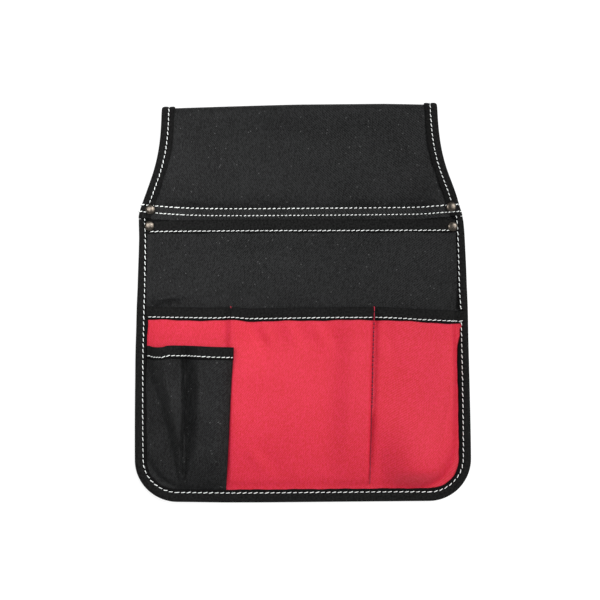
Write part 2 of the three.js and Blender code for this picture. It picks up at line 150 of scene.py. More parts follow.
# Back panel, flap and belt loop
SAG_INSIDE = 45.0
SAG_FULL_H = 160.0
SAG_END_H = 196.0
FLAP_PRESSED_INSIDE = 38.0
FLAP_BESIDE_TAPE = 6.0
FLAP_TUCK = 2.8
FLAP_SIDE_TUCK = 0.9
FLAP_SIDE_STEP = 1.0
FLAP_HOLLOW = {"depth": 3.4, "end": 22.0}
FLAP_PULL = {"share": 0.95, "reach": 4.0}
FLAP_PUFF = 0.45
LOOP_SAG = {"left": 2.2, "right": 1.1, "right_start": 0.6, "power": 1.2}

# Seams that divide the red pocket, as places across the bag
DIVIDER_TOP_H = 145.0
DIVIDER_BASE_H = 10.0
LEFT_DIVIDER = {"mouth": -54.1, "base": -58.5}
RIGHT_DIVIDER = {"mouth": 53.4, "base": 49.3}
SEAM_GROOVE = {"low": 3.2, "high": 1.2, "change": (60, 72), "end": (126, 134), "half": 0.7}
SEAM_HOLD = 9.0

# Swell between the seams, from left (0) to right (1)
RED_LEFT = [(0, 0.1), (0.15, 0.22), (0.35, 0.29), (0.8, 0.3), (0.93, 0.2), (1, 0)]
RED_MIDDLE = [
    (0, 0), (0.03, 0.74), (0.07, 0.88), (0.15, 0.9), (0.25, 0.91), (0.45, 0.83), (0.62, 0.62), (0.7, 0.53),
    (0.76, 0.6), (0.85, 0.98), (0.885, 1.02), (0.94, 1.02), (0.985, 0.98), (1, 0.55),
]
RED_RIGHT = [
    (0, 0.5), (0.02, 0.24), (0.07, 0.44), (0.13, 0.52), (0.3, 0.64), (0.6, 0.8), (0.85, 1.04), (1, 1.06),
]
BAND = {"lean": 0.045, "middle": 0.72, "reach": 0.16}
RED_BULGE = {"height": 10.5, "across": (55, 113), "power": 1.5, "rise": (6, 25), "fall": (25, 76)}

# Swell beside the left seam above the small pocket: distance across from the seam, share
SEAM_ABOVE = [
    (-60, 0.34), (-7, 0.31), (-1.5, 0.35), (0.6, 0.54), (2.4, 0.68), (6, 0.72), (28, 0.46), (60, 0.75),
]
SEAM_ABOVE_ZONE = {"across": (25, 58), "up": (92, 120)}

# Pleat of the small pocket: share of the way down, then places across of the end of its sewn side,
# the foot of its left ridge, that ridge, both sides of its valley and its right ridge
SMALL_LINES = [
    (0.05, 0.005, 0.035, 0.18, 0.42, 0.475, 0.645),
    (0.18, 0.01, 0.06, 0.225, 0.44, 0.485, 0.66),
    (0.31, 0.02, 0.15, 0.295, 0.445, 0.495, 0.665),
    (0.45, 0.03, 0.235, 0.345, 0.45, 0.5, 0.675),
    (0.59, 0.04, 0.295, 0.42, 0.44, 0.485, 0.655),
    (0.73, 0.05, 0.365, 0.435, 0.45, 0.485, 0.6),
    (0.87, 0.06, 0.42, 0.455, 0.465, 0.49, 0.515),
    (1.0, 0.08, 0.42, 0.455, 0.465, 0.49, 0.51),
]
SMALL_END_LINES = [0.88, 0.97, 1.0]
SMALL_LEVELS = {
    "mouth": [0, 0.4, 0.6, 10.4, 8.6, 2.4, 12.5, 8.8, 5.0, 0],
    "base": [0, 5.0, 5.0, 8.0, 7.4, 5.4, 8.6, 7.2, 4.8, 0],
}
SMALL_CHANGE = (0.5, 0.95)
SMALL_EASE = 0.2
SMALL_FREE_EVEN = 0.2
SMALL_LEAN = {"mouth": 6.2, "base": 2.3, "rise": (0.78, 0.965), "fall": (0.98, 1), "fall_share": 0.75}

# Creases from one place to another: x and h at each end, width, height
RED_CREASES = [
    (-38, 136, -26, 112, 4.5, -0.9),
    (-30, 135, -20, 114, 3.5, 0.8),
    (-12, 137, -4, 116, 4.0, 0.9),
    (-4, 137, 4, 114, 4.5, -0.7),
    (8, 136, 19, 112, 4.0, 0.9),
    (18, 136, 28, 108, 4.5, -0.7),
    (-42, 42, -22, 16, 4.0, 1.0),
    (-34, 44, -14, 18, 5.0, -0.8),
    (-10, 30, 0, 12, 4.0, 0.8),
    (12, 26, 20, 11, 4.0, 0.7),
    (92, 136, 84, 110, 5.0, 0.7),
    (62, 132, 70, 96, 5.0, -0.6),
]
RED_RIGHT_CREASE = [(118, 118, 99.5, 26, 2.6, 1.1)]
MAIN_CREASES = [
    (-118, 149.5, -84, 156, 3.2, 2.6),
    (-118, 144.5, -84, 150.5, 3.0, -0.7),
    (96, 160, 118, 148, 2.8, 0.6),
    (92, 166, 116, 154, 4.0, -0.4),
    (-60, 150, -30, 156, 6.0, -0.4),
]
CREASE_LEAD = 0.1

# Distances from the sewn edge over which a form comes in
EDGE_FADE = {"main_crease": (8, 16), "red_crease": (8.5, 13), "red_bulge": (7, 12)}

# Sag of each mouth along its length: place across, height
MAIN_DIP = [(-116, -0.3), (-40, -0.5), (40, -1.0), (116, -1.2)]
RED_DIP = [
    (-116, 1.0), (-90, 0.4), (-62, -0.2), (-52, 0.2), (-38, -0.9), (0, -0.7), (50, -0.7), (70, -1.4),
    (90, -2.8), (116, -4.2),
]
SMALL_DIP = [
    (-116, 1.4), (-113, 0.8), (-110, 0.1), (-103, 0.2), (-99, 1.2), (-92, 1.3), (-84, 1.0), (-76, 0.8),
    (-65, 0), (-52, -0.8),
]
DIP_REACH = 45.0

# Ends of the tapes along the red and the small mouth
RED_TAPE_ENDS = (-115.3, 120.1)
SMALL_TAPE_START = -115.0

# Rows of stitching: insets from the edges of the tapes, and heights on the flap
PITCH = 3.53
EDGE_ROW_INSET = [(0, 7.2), (33, 6.3), (90, 5.8), (150, 5.5), (212, 4.5)]
RIGHT_ROW_SHIFT = [(0, -0.4), (60, -0.4), (138, -0.4), (156, 0.3), (212, 0.3)]
RIGHT_ROW_ZONE = (60, 110)
RIGHT_ROW_BREAK = (131.8, 143.6)
LOOP_ROW_INSET = 5.4
FLAP_ROWS = [218.5, 213.3]
FLAP_ROW_STARTS = [-92, -87]
FLAP_ROW_RISE = [
    (-120, 4.0), (-108, 2.7), (-86, 1.1), (-60, 0.3), (0, 0), (60, 0), (90, 0.2), (103, 1), (118, 1.8),
]
FLAP_ROW_LIFT = 0.2
FLAP_ROW_END = {"inset": 1.2, "round": 0.9}
FLAP_TACKS = [(-104, -88), (104, 116)]
TACK_LIFT = 0.1
SMALL_ROW_SHORT = 0.8
SEAM_LIFT = 0.9
ROW_TAPE_LIFT = 0.15
ROW_TAPE_STEP = {"loop": (1.2, -0.6), "mouth": (-0.8, 0.6)}

# One stitch, in thread thicknesses, and how much stitches differ
STITCH = {"sunk": -0.42, "raised": 0.62, "radius": 0.36, "bulge": 0.16}
STITCH_HANDLE = 0.72
STITCH_TWISTS = 3.0
STITCH_STEPS = 7
STITCH_TURN = 0.09
STITCH_SCALES = [(0.9, 1.06), (0.92, 1.1), (0.9, 1.15)]

# Rivets: side, inset, height and level of the seat
RIVETS = [(-1, 7.8, 218.5, 9.7), (1, 6.6, 218.5, 9.7), (-1, 8.1, 206.4, 8.3), (1, 8.6, 203.9, 8.3)]
RIVET_TILTS = [0.05, 0.06]
CAP_R = 3.7
CAP_HEIGHT = 2.1
CAP_RIM = 0.7
POST_R = 1.5
TAIL_R = 3.0
TAIL_THICK = 0.6

# Mesh sizes
CELL = 1.6
FINE_CELL = 0.6
SECTION_WIDTHS = [68, 107, 74]
PANEL_COLUMNS = 130
AREA_STEPS = 60
MOUTH_STEPS = {"main": 150, "red": 160}
EDGE_STEPS = {"side": 150, "corner": 46, "base": 130}
TAPE_STEPS = {"leg": 15, "round": 6}
ROW_STEPS = {"flap": 150, "round": 9, "tack": 24, "seam": 90}
RIVET_STEPS = {"cap": (40, 22), "post": 20, "tail": (32, 12)}
CORNER_STEPS = 24
GROOVE_HALF = 1.2
FOLD_STEPS = 14
SHARP_ANGLE = math.radians(55)

# Columns of the small pocket, which are closest at its free side: count, power
SMALL_SPREAD = {"cloth": (60, 0.8), "tape": (70, 0.85)}

# Stations of the edge tape, stations of the cloth that turns over at the belt loop, and a pocket
Edge = namedtuple("Edge", "x h inward_x inward_h leg")
Loop = namedtuple("Loop", "h normal_h normal_z kind")
Pocket = namedtuple("Pocket", "name under mouth dips columns row_inset lean")


# Curves and steps
def share(value, start, end):
    """Share of the way from start to end, held to 0 and 1 outside them."""
    return np.clip((value - start) / (end - start), 0, 1)


def ease(t):
    """Share from 0 to 1 with soft ends."""
    return t * t * (3 - 2 * t)


def smooth(value, start, end):
    """Soft step from 0 at start to 1 at end."""
    return ease(share(value, start, end))


def lerp(start, end, t):
    return start + (end - start) * t


def hump(value, middle, reach):
    """Bell that is 1 at its middle."""
    return np.exp(-(((value - middle) / reach) ** 2))


def steps(start, end, cell=CELL):
    """Even places from start to end, about a cell apart."""
    return np.linspace(start, end, round((end - start) / cell) + 1)


def through(rows, at):
    """Smooth curve through a table of (place, value), with each row's slope taken from its neighbours."""
    places = np.array([row[0] for row in rows], float)
    values = np.array([row[1] for row in rows], float)
    before = np.maximum(np.arange(len(rows)) - 1, 0)
    after = np.minimum(np.arange(len(rows)) + 1, len(rows) - 1)
    slopes = (values[after] - values[before]) / (places[after] - places[before])
    at = np.clip(at, places[0], places[-1])
    i = np.clip(np.searchsorted(places, at, side="right") - 1, 0, len(rows) - 2)
    span = places[i + 1] - places[i]
    t = (at - places[i]) / span
    ends = lerp(values[i], values[i + 1], ease(t))
    return ends + span * t * (1 - t) * (slopes[i] * (1 - t) - slopes[i + 1] * t)


def wobble(at, waves):
    return sum(height * np.sin(at / length + phase) for height, length, phase in waves)


def uneven(cloth, x, h):
    """Soft unevenness of a cloth: a few waves in random directions."""
    height, length, seed = UNEVEN[cloth]
    random = np.random.default_rng(seed)
    total = 0.0 * x
    for _ in range(WAVES):
        turn = random.uniform(0, np.pi)
        stretch = random.uniform(*WAVE_STRETCH)
        phase = random.uniform(0, 2 * np.pi)
        along = x * np.cos(turn) + h * np.sin(turn)
        total = total + np.sin(2 * np.pi * along * stretch / length + phase)
    return height * (total / math.sqrt(WAVES))


def creases(rows, x, h):
    """Ridges and valleys along short lines, which fade out at their ends."""
    total = 0.0 * x
    for x0, h0, x1, h1, width, rise in rows:
        length = math.hypot(x1 - x0, h1 - h0)
        along = ((x - x0) * (x1 - x0) + (h - h0) * (h1 - h0)) / length**2
        off = ((x - x0) * (h1 - h0) - (h - h0) * (x1 - x0)) / length
        fade = np.sin(np.pi * np.clip(lerp(CREASE_LEAD, 1, along), 0, 1))
        total = total + rise * fade * hump(off, 0, width)
    return total


# Outline
def bag_half(h):
    """Half width of the bag, tape included."""
    low = np.minimum(h, CORNER_R)
    corner = BASE_HALF - CORNER_R + np.sqrt(np.maximum(CORNER_R**2 - (CORNER_R - low) ** 2, 0))
    side = BASE_HALF - (BASE_HALF - SHOULDER_HALF) * share(h, CORNER_R, SHOULDER_H) ** SIDE_BOW
    up = np.maximum(h - SHOULDER_H, 0) / WAIST_REACH
    waist = TOP_HALF + (SHOULDER_HALF - TOP_HALF) * np.exp(-(up**WAIST_POWER))
    return np.where(h < CORNER_R, corner, np.where(h < SHOULDER_H, side, waist))


def side_half(h):
    """Half width of the bag as if its corners were square."""
    return bag_half(np.maximum(h, CORNER_R))


def cloth_half(h):
    """Half width of the cloth inside the tape."""
    cloth_r = CORNER_R - EDGE
    rise = np.clip(CORNER_R - h, 0, cloth_r)
    corner = BASE_HALF - CORNER_R + np.sqrt(cloth_r**2 - rise**2)
    return np.where(h >= CORNER_R, bag_half(h) - EDGE, corner)


def from_side(x, h):
    """Distance from the nearer side."""
    return bag_half(h) - np.abs(x)


def inset(x, h):
    """Distance from the sides and base, with the corners rounder than the outline's."""
    side = side_half(h) - np.abs(x)
    over_x = np.maximum(SWELL_CORNER_R - side, 0)
    over_h = np.maximum(SWELL_CORNER_R - h, 0)
    rounded = SWELL_CORNER_R - np.hypot(over_x, over_h)
    return np.where((over_x > 0) & (over_h > 0), rounded, np.minimum(side, h))


def divider_x(divider, h):
    return lerp(divider["base"], divider["mouth"], (h - DIVIDER_BASE_H) / (DIVIDER_TOP_H - DIVIDER_BASE_H))


def placed(x, h, z):
    """Points in metres in the shared frame."""
    x, h, z = np.broadcast_arrays(x, h, z)
    left = LEFT_BOW["size"] * smooth(h, *LEFT_BOW["up"]) * smooth(-x, *LEFT_BOW["across"])
    bows = [bow["size"] * hump(h, bow["middle"], bow["reach"]) for bow in (RIGHT_BOW, SHOULDER_CUT)]
    right = (bows[0] - bows[1]) * smooth(x, *RIGHT_BOW["across"])
    lift = LEFT_LIFT["size"] * smooth(-x, *LEFT_LIFT["across"]) * (1 - smooth(h, *LEFT_LIFT["up"]))
    return np.stack([x - left + right, h + lift - BAG_LENGTH / 2, z], axis=-1) * MM


# Undersides of the pockets' walls
def rise_over(away, reach):
    """Rise of cloth at a distance away from a sewn edge, 0 at the edge to 1 well inside."""
    return 1 - (1 - share(away, SWELL_START, SWELL_START + reach)) ** SWELL_POWER


def swell_from(x, h, reach):
    """Rise of a pocket from its sewn sides and base."""
    wide = lerp(SOFT_EDGE["low"], SOFT_EDGE["high"], smooth(h, CORNER_R, SOFT_EDGE["high_h"]))
    soft = smooth(inset(x, h), SWELL_START - SOFT_LEAD, SWELL_START + wide)
    return soft * rise_over(side_half(h) - np.abs(x), reach["side"]) * rise_over(h, reach["base"])


def mouth_lift(h, mouth):
    """Room that the inner leg of a mouth tape takes under a pocket wall."""
    return MOUTH_ROOM * share(h, mouth - MOUTH_LEG - MOUTH_RAMP, mouth - MOUTH_LEG)


def main_under(x, h):
    level = np.minimum(h, MAIN_MOUTH - MOUTH_LEG)
    swell = (MAIN_SWELL + uneven("main", x, level)) * swell_from(x, level, MAIN_REACH)
    crease = creases(MAIN_CREASES, x, level) * smooth(inset(x, level), *EDGE_FADE["main_crease"])
    return MAIN_Z + mouth_lift(h, MAIN_MOUTH) + swell + crease


def seam_groove(h):
    """Depth of the groove at the right seam, deepest below its stitches."""
    depth = lerp(SEAM_GROOVE["low"], SEAM_GROOVE["high"], smooth(h, *SEAM_GROOVE["change"]))
    return depth * (1 - smooth(h, *SEAM_GROOVE["end"]))


def red_swell(x, h):
    """Swell of the red pocket: three sections between the sides and the two seams."""
    left = divider_x(LEFT_DIVIDER, h)
    right = divider_x(RIGHT_DIVIDER, h)
    side = side_half(h) - SEAM_FLAT
    in_left = through(RED_LEFT, share(x, -side, left))
    across = share(x, left, right)
    lean = BAND["lean"] * (1 - h / RED_MOUTH) * hump(across, BAND["middle"], BAND["reach"])
    in_middle = through(RED_MIDDLE, across + lean)
    in_right = through(RED_RIGHT, share(x, right, side))
    swell = RED_SWELL * np.where(x < left, in_left, np.where(x < right, in_middle, in_right))
    swell = swell - seam_groove(h) * hump(x, right, SEAM_GROOVE["half"])
    near = 1 - smooth(np.abs(x - left), *SEAM_ABOVE_ZONE["across"])
    above = RED_SWELL * through(SEAM_ABOVE, x - left)
    return lerp(swell, above, near * smooth(h, *SEAM_ABOVE_ZONE["up"]))


def red_bulge(x, h):
    """Fullness low in the right section, which rises straight from the edge tape."""
    across = np.sin(np.pi * share(x, *RED_BULGE["across"])) ** RED_BULGE["power"]
    up = smooth(h, *RED_BULGE["rise"]) * (1 - smooth(h, *RED_BULGE["fall"]))
    return RED_BULGE["height"] * across * up * smooth(inset(x, h), *EDGE_FADE["red_bulge"])


def red_under(x, h):
    level = np.minimum(h, RED_MOUTH - MOUTH_LEG)
    held = smooth(np.abs(x - divider_x(LEFT_DIVIDER, level)), 0, SEAM_HOLD)
    held = held * smooth(np.abs(x - divider_x(RIGHT_DIVIDER, level)), 0, SEAM_HOLD)
    soft = creases(RED_CREASES, x, level) + uneven("red", x, level)
    swell = np.maximum(0, red_swell(x, level) + held * soft) * swell_from(x, level, RED_REACH)
    crease = creases(RED_RIGHT_CREASE, x, level) * smooth(inset(x, level), *EDGE_FADE["red_crease"])
    rise = swell + crease + red_bulge(x, level)
    return main_under(x, h) + CLOTH + GAP + mouth_lift(h, RED_MOUTH) + rise


def small_across(x, h):
    """Place across the small pocket, 0 at its sewn side to 1 at the seam."""
    return share(x, SWELL_START - side_half(h), divider_x(LEFT_DIVIDER, h))


def small_pleat(across, down):
    """Swell of the small pocket: from its sewn side over a ridge, a valley and a ridge to its free side."""
    lines = [0 * down]
    for column in range(1, len(SMALL_LINES[0])):
        lines.append(through([(row[0], row[column]) for row in SMALL_LINES], down))
    lines += [0 * down + place for place in SMALL_END_LINES]
    rises = [np.diff(SMALL_LEVELS[end]) for end in ("mouth", "base")]
    total = 0.0 * across
    for start, end, high, low in zip(lines[:-1], lines[1:], *rises):
        t = share(across, start, end)
        eased = lerp(t, ease(t), SMALL_EASE)
        total = total + lerp(high, low, smooth(down, *SMALL_CHANGE)) * eased
    return total


def small_under(x, h):
    level = np.minimum(h, SMALL_MOUTH - MOUTH_LEG)
    across = small_across(x, level)
    shape = small_pleat(across, 1 - level / SMALL_MOUTH)
    shape = shape + uneven("small", x, level) * smooth(1 - across, 0, SMALL_FREE_EVEN)
    soft = smooth(inset(x, level), SWELL_START - SOFT_LEAD, SWELL_START + SMALL_SOFT)
    swell = np.maximum(0, shape) * rise_over(level, SMALL_REACH) * soft
    return red_under(x, h) + CLOTH + GAP + mouth_lift(h, SMALL_MOUTH) + swell


def stack_top(x, h):
    """Level of the topmost cloth at the sewn edge, under the edge tape."""
    red = 1 - share(h, RED_MOUTH, RED_MOUTH + FADE)
    base = LEFT_DIVIDER["base"]
    small = (1 - share(h, SMALL_MOUTH, SMALL_MOUTH + FADE)) * (1 - share(x, base, base + FADE))
    main = MAIN_Z + CLOTH + mouth_lift(h, MAIN_MOUTH)
    over_red = red * (CLOTH + GAP + mouth_lift(h, RED_MOUTH))
    return main + over_red + small * (CLOTH + GAP + mouth_lift(h, SMALL_MOUTH))


# Middles of the cloth that makes the back, the flap and the belt loop
def panel_mid(x, h):
    """Middle of the back panel, which lies on the floor inside its sewn edge."""
    inside = smooth(inset(x, h), SEAM_FLAT, SAG_INSIDE)
    return PANEL_Z + PANEL / 2 - PANEL_Z * inside * (1 - smooth(h, SAG_FULL_H, SAG_END_H))


def flap_inside(x, h):
    """Share, from 0 at the sides to 1 well inside, by which the flap is pressed down."""
    return smooth(from_side(x, h), SEAM_FLAT, FLAP_PRESSED_INSIDE)


def flap_mid(x, h):
    """Middle of the flap, which is pressed down between its tapes and pulled in at its rows of stitches."""
    inside = flap_inside(x, h)
    beside_tape = smooth(from_side(x, h), LOOP_LEG, LOOP_LEG + FLAP_BESIDE_TAPE)
    above_rows = [h - level - through(FLAP_ROW_RISE, x) for level in FLAP_ROWS]
    between = share(above_rows[1], 0, FLAP_ROWS[0] - FLAP_ROWS[1])
    sewn = lerp(FLAP_SEWN_Z, MAIN_Z, inside) + FLAP_PUFF * beside_tape * np.sin(np.pi * between)
    pulled = 1 - np.exp(-np.maximum(above_rows[0], 0) / FLAP_PULL["reach"])
    free = lerp(smooth(h, FLAP_SEWN, FLAP_OPEN), pulled, FLAP_PULL["share"] * beside_tape)
    free = lerp(free, 1, smooth(h, FLAP_FINE_END, FLAP_OPEN))
    hollow = FLAP_HOLLOW["depth"] * (1 - (x / bag_half(h)) ** 2)
    under_fold = 1 - smooth(h, FOLD_H - FLAP_HOLLOW["end"], FOLD_H)
    soft = (uneven("flap", x, h) * inside - hollow) * free * under_fold
    return lerp(sewn, FLAP_OPEN_Z, free) + PANEL / 2 + soft


def loop_stations():
    """Stations up the back (kind 0), round the fold (1) and down the flap (2)."""
    fine = steps(FLAP_END, FLAP_FINE_END, FINE_CELL)
    up = np.concatenate([fine[:-1], steps(FLAP_FINE_END, FOLD_H)])
    turn = np.linspace(0, np.pi, FOLD_STEPS + 1)[1:-1]
    return Loop(
        h=np.concatenate([up, FOLD_H + FOLD_R * np.sin(turn), up[::-1]]),
        normal_h=np.concatenate([0 * up, np.sin(turn), 0 * up]),
        normal_z=np.concatenate([0 * up - 1, -np.cos(turn), 0 * up + 1]),
        kind=np.concatenate([0 * up, 0 * turn + 1, 0 * up + 2]),
    )


def loop_mid(x, loop):
    """Middle of the cloth at the stations of the loop."""
    fold = (PANEL_Z + FLAP_OPEN_Z + PANEL) / 2 + FOLD_R * loop.normal_z
    on_flap = np.where(loop.kind == 2, flap_mid(x, loop.h), fold)
    return np.where(loop.kind == 0, panel_mid(x, loop.h), on_flap)


def loop_sag(x, h):
    """Drop of both corners of the belt loop."""
    left = LOOP_SAG["left"] * share(-x, 0, TOP_HALF) ** LOOP_SAG["power"]
    right = LOOP_SAG["right"] * share(x, LOOP_SAG["right_start"] * TOP_HALF, TOP_HALF) ** LOOP_SAG["power"]
    return (left + right) * smooth(h, FLAP_OPEN, FOLD_H)


# Meshes
def stand(name, data, location=(0, 0, 0), towards=None):
    """Object in the scene, which may face a direction as a lamp does."""
    obj = bpy.data.objects.new(name, data)
    obj.location = location
    if towards:
        obj.rotation_euler = Vector(towards).to_track_quat("-Z", "Y").to_euler()
    bpy.context.scene.collection.objects.link(obj)
    return obj


def piece(name, points, faces, uv, material):
    """Object with its place in its mesh, faces turned outward and soft shading."""
    mesh = bpy.data.meshes.new(name)
    mesh.from_pydata(points.tolist(), [], faces)
    corners = np.empty(len(mesh.loops), dtype=np.int32)
    mesh.loops.foreach_get("vertex_index", corners)
    layer = mesh.uv_layers.new(name="cut")
    layer.data.foreach_set("uv", uv[corners].ravel())
    shape = bmesh.new()
    shape.from_mesh(mesh)
    bmesh.ops.recalc_face_normals(shape, faces=shape.faces)
    shape.to_mesh(mesh)
    shape.free()
    mesh.shade_smooth()
    mesh.set_sharp_from_angle(angle=SHARP_ANGLE)
    mesh.materials.append(material)
    return stand(name, mesh)


def wall(name, front, back, uv, material):
    """Cloth between two grids of points that face each other."""
    rows, columns = front.shape[:2]
    count = rows * columns
    grid = np.arange(count).reshape(rows, columns)
    quads = [grid[:-1, :-1], grid[:-1, 1:], grid[1:, 1:], grid[1:, :-1]]
    faces = np.stack([corner.ravel() for corner in quads], axis=1)
    rim = np.concatenate([grid[0, :], grid[1:, -1], grid[-1, -2::-1], grid[-2:0:-1, 0]])
    following = np.roll(rim, -1)
    sides = np.stack([rim, rim + count, following + count, following], axis=1)
    everything = np.concatenate([faces, faces[:, ::-1] + count, sides])
    points = np.concatenate([front.reshape(-1, 3), back.reshape(-1, 3)])
    flat = uv.reshape(-1, 2)
    return piece(name, points, everything.tolist(), np.concatenate([flat, flat]), material)


def run_lengths(points):
    """Distance along each column of a grid of points."""
    lengths = np.linalg.norm(np.diff(points, axis=0), axis=-1)
    return np.concatenate([np.zeros((1,) + lengths.shape[1:]), np.cumsum(lengths, axis=0)])


# Walls of the pockets
def pocket_heights(mouth):
    """Heights of the rows of a pocket: round its corners, then evenly up to its mouth."""
    turn = np.linspace(0, np.pi / 2, CORNER_STEPS + 1)
    corner = CORNER_R - (CORNER_R - EDGE) * np.cos(turn)
    return np.concatenate([corner, steps(CORNER_R, mouth - EDGE)[1:]])


def spread(start, end, width):
    """Columns about a cell apart, from the start up to but not including the end."""
    return lerp(start, end, np.linspace(0, 1, round(width / CELL) + 1)[:-1])


def pocket_columns(h):
    """Places across the bag at one or more heights, with a column on each seam."""
    half = cloth_half(h)[:, None]
    left = divider_x(LEFT_DIVIDER, h)[:, None]
    right = divider_x(RIGHT_DIVIDER, h)[:, None]
    return np.hstack([
        spread(-half, left, SECTION_WIDTHS[0]),
        spread(left, right - GROOVE_HALF, SECTION_WIDTHS[1]),
        right + GROOVE_HALF * np.array([[-1, -0.5, 0, 0.5]]),
        spread(right + GROOVE_HALF, half, SECTION_WIDTHS[2]),
        half,
    ])


def small_spread(part):
    """Shares of the way across the small pocket."""
    count, power = SMALL_SPREAD[part]
    return np.linspace(0, 1, count) ** power


def small_columns(h):
    """Places across the small pocket at one or more heights."""
    return lerp(-cloth_half(h)[:, None], divider_x(LEFT_DIVIDER, h)[:, None], small_spread("cloth"))


def small_lean(x, h):
    """How far the free side of the small pocket leans out over its seam."""
    across = small_across(x, np.minimum(h, SMALL_MOUTH - MOUTH_LEG))
    back = 1 - SMALL_LEAN["fall_share"] * smooth(across, *SMALL_LEAN["fall"])
    nose = smooth(across, *SMALL_LEAN["rise"]) * back
    return lerp(SMALL_LEAN["base"], SMALL_LEAN["mouth"], share(h, 0, SMALL_MOUTH)) * nose


def no_lean(x, h):
    return 0.0


def sagged(pocket, x, h):
    """Height of a place once the mouth above it has sagged."""
    return h + through(pocket.dips, x) * smooth(h, pocket.mouth - DIP_REACH, pocket.mouth - MOUTH_LEG)


def pocket_wall(pocket, material):
    """Wall of a pocket from its base to its mouth."""
    heights = pocket_heights(pocket.mouth)
    x = pocket.columns(heights)
    h = np.broadcast_to(heights[:, None], x.shape)
    z = pocket.under(x, h)
    level = sagged(pocket, x, h)
    front = placed(x + pocket.lean(x, h), level, z + CLOTH)
    uv = np.stack([x * MM, run_lengths(front)], axis=-1)
    return wall(pocket.name + "_pocket_cloth", front, placed(x, level, z), uv, material)


def back_panel(material):
    """Back panel and flap, one cloth that turns over at the belt loop."""
    body = pocket_heights(FLAP_END - CELL + EDGE)
    below = Loop(body, 0 * body, 0 * body - 1, 0 * body)
    loop = Loop(*(np.concatenate(pair)[:, None] for pair in zip(below, loop_stations())))
    h = loop.h
    x = cloth_half(h) * np.linspace(-1, 1, PANEL_COLUMNS)[None, :]
    mid = loop_mid(x, loop)
    inside = flap_inside(x, h)
    tape_end = (LOOP_LEG - FLAP_SIDE_STEP, LOOP_LEG + FLAP_SIDE_STEP)
    beside = FLAP_SIDE_TUCK * smooth(from_side(x, h), *tape_end)
    tucked = lerp(beside, FLAP_TUCK, inside) * (loop.kind == 2) * (1 - smooth(h, FLAP_END, FLAP_SEWN))
    level = h - tucked - loop_sag(x, h)
    grids = []
    for off in (PANEL / 2, -PANEL / 2):
        grids.append(placed(x, level + off * loop.normal_h, mid + off * loop.normal_z))
    uv = np.stack([x * MM, run_lengths(placed(x, h, mid))], axis=-1)
    return wall("back_panel_cloth", *grids, uv, material)


# Folded tapes
def tape_profile(leg, low, high, row, dent):
    """Section of a tape folded over an edge at many stations: distance inward and level, then its lip.

    The lip, 0 to 1, is what lies beyond the row of stitches, where the tape is painted darker as shade.
    """
    leg, low, high, row, dent = (value[:, None] for value in np.broadcast_arrays(leg, low, high, row, dent))
    top = high + TAPE
    foot = low - TAPE
    inward = lerp(TAPE_ROUND, leg, np.linspace(1, 0, TAPE_STEPS["leg"])[None, :])
    puff = TAPE_PUFF * np.sin(np.pi * np.clip(inward / row, 0, 1))
    lip = LIP_PUFF * np.sin(np.pi * share(inward, row, leg))
    drawn = THREAD_PULL["depth"] * dent * hump(inward, row, THREAD_PULL["reach"])
    relief = puff + lip - drawn - LIP_DROP["depth"] * smooth(inward, leg - LIP_DROP["reach"], leg)
    turn = np.linspace(0, np.pi / 2, TAPE_STEPS["round"])[None, 1:]
    arc_in = TAPE_ROUND * (1 - np.sin(turn)) + 0 * leg
    arc_out = TAPE_ROUND * (1 - np.cos(turn))
    within = np.hstack([leg, TAPE + 0 * leg, TAPE + 0 * leg, leg])
    section = np.concatenate([
        np.stack([inward, top + relief], axis=-1),
        np.stack([arc_in, top - arc_out], axis=-1),
        np.stack([arc_in, foot + arc_out], axis=-1)[:, ::-1],
        np.stack([inward, foot - relief], axis=-1)[:, ::-1],
        np.stack([within, np.hstack([low, low, high, high])], axis=-1),
    ], axis=1)
    return section, smooth(section[:, :, 0], row + LIP_SHADE["start"], row + LIP_SHADE["full"])


def stitch_dents(run):
    """How deep each station of a tape is drawn in by the stitches along it."""
    total = run[-1]
    step = total / max(1, math.floor(total / PITCH))
    return THREAD_PULL["mean"] - THREAD_PULL["swing"] * np.cos(2 * np.pi * run / step)


def folded_tape(name, place, width, low, high, row, material, painted_shade_share=1.0):
    """Tape folded over an edge and closed at both ends.

    Its points come from place, by distance inward and level, and its legs from width, by the run in mm.
    """
    run = run_lengths(place(row, high + TAPE))
    section, lip = tape_profile(width(run / MM), low, high, row, stitch_dents(run / MM))
    stations, count = lip.shape
    rings = np.stack([place(section[:, k, 0], section[:, k, 1]) for k in range(count)], axis=1)
    grid = np.arange(stations * count).reshape(stations, count)
    ahead = np.roll(grid, -1, axis=1)
    faces = np.stack([grid[:-1], ahead[:-1], ahead[1:], grid[1:]], axis=-1).reshape(-1, 4).tolist()
    faces += [grid[0, ::-1].tolist(), grid[-1].tolist()]
    around = np.cumsum(np.linalg.norm(np.diff(rings, axis=1, prepend=rings[:, :1]), axis=-1), axis=1)
    uv = np.stack([around, np.broadcast_to(run[:, None], around.shape)], axis=-1)
    obj = piece(name, rings.reshape(-1, 3), faces, uv.reshape(-1, 2), material)
    # Painted shade: the lip beyond the row of stitches, stored for the tape's finish to darken
    shaded = obj.data.attributes.new("lip", "FLOAT", "POINT")
    shaded.data.foreach_set("value", (painted_shade_share * lip).ravel())
    return obj


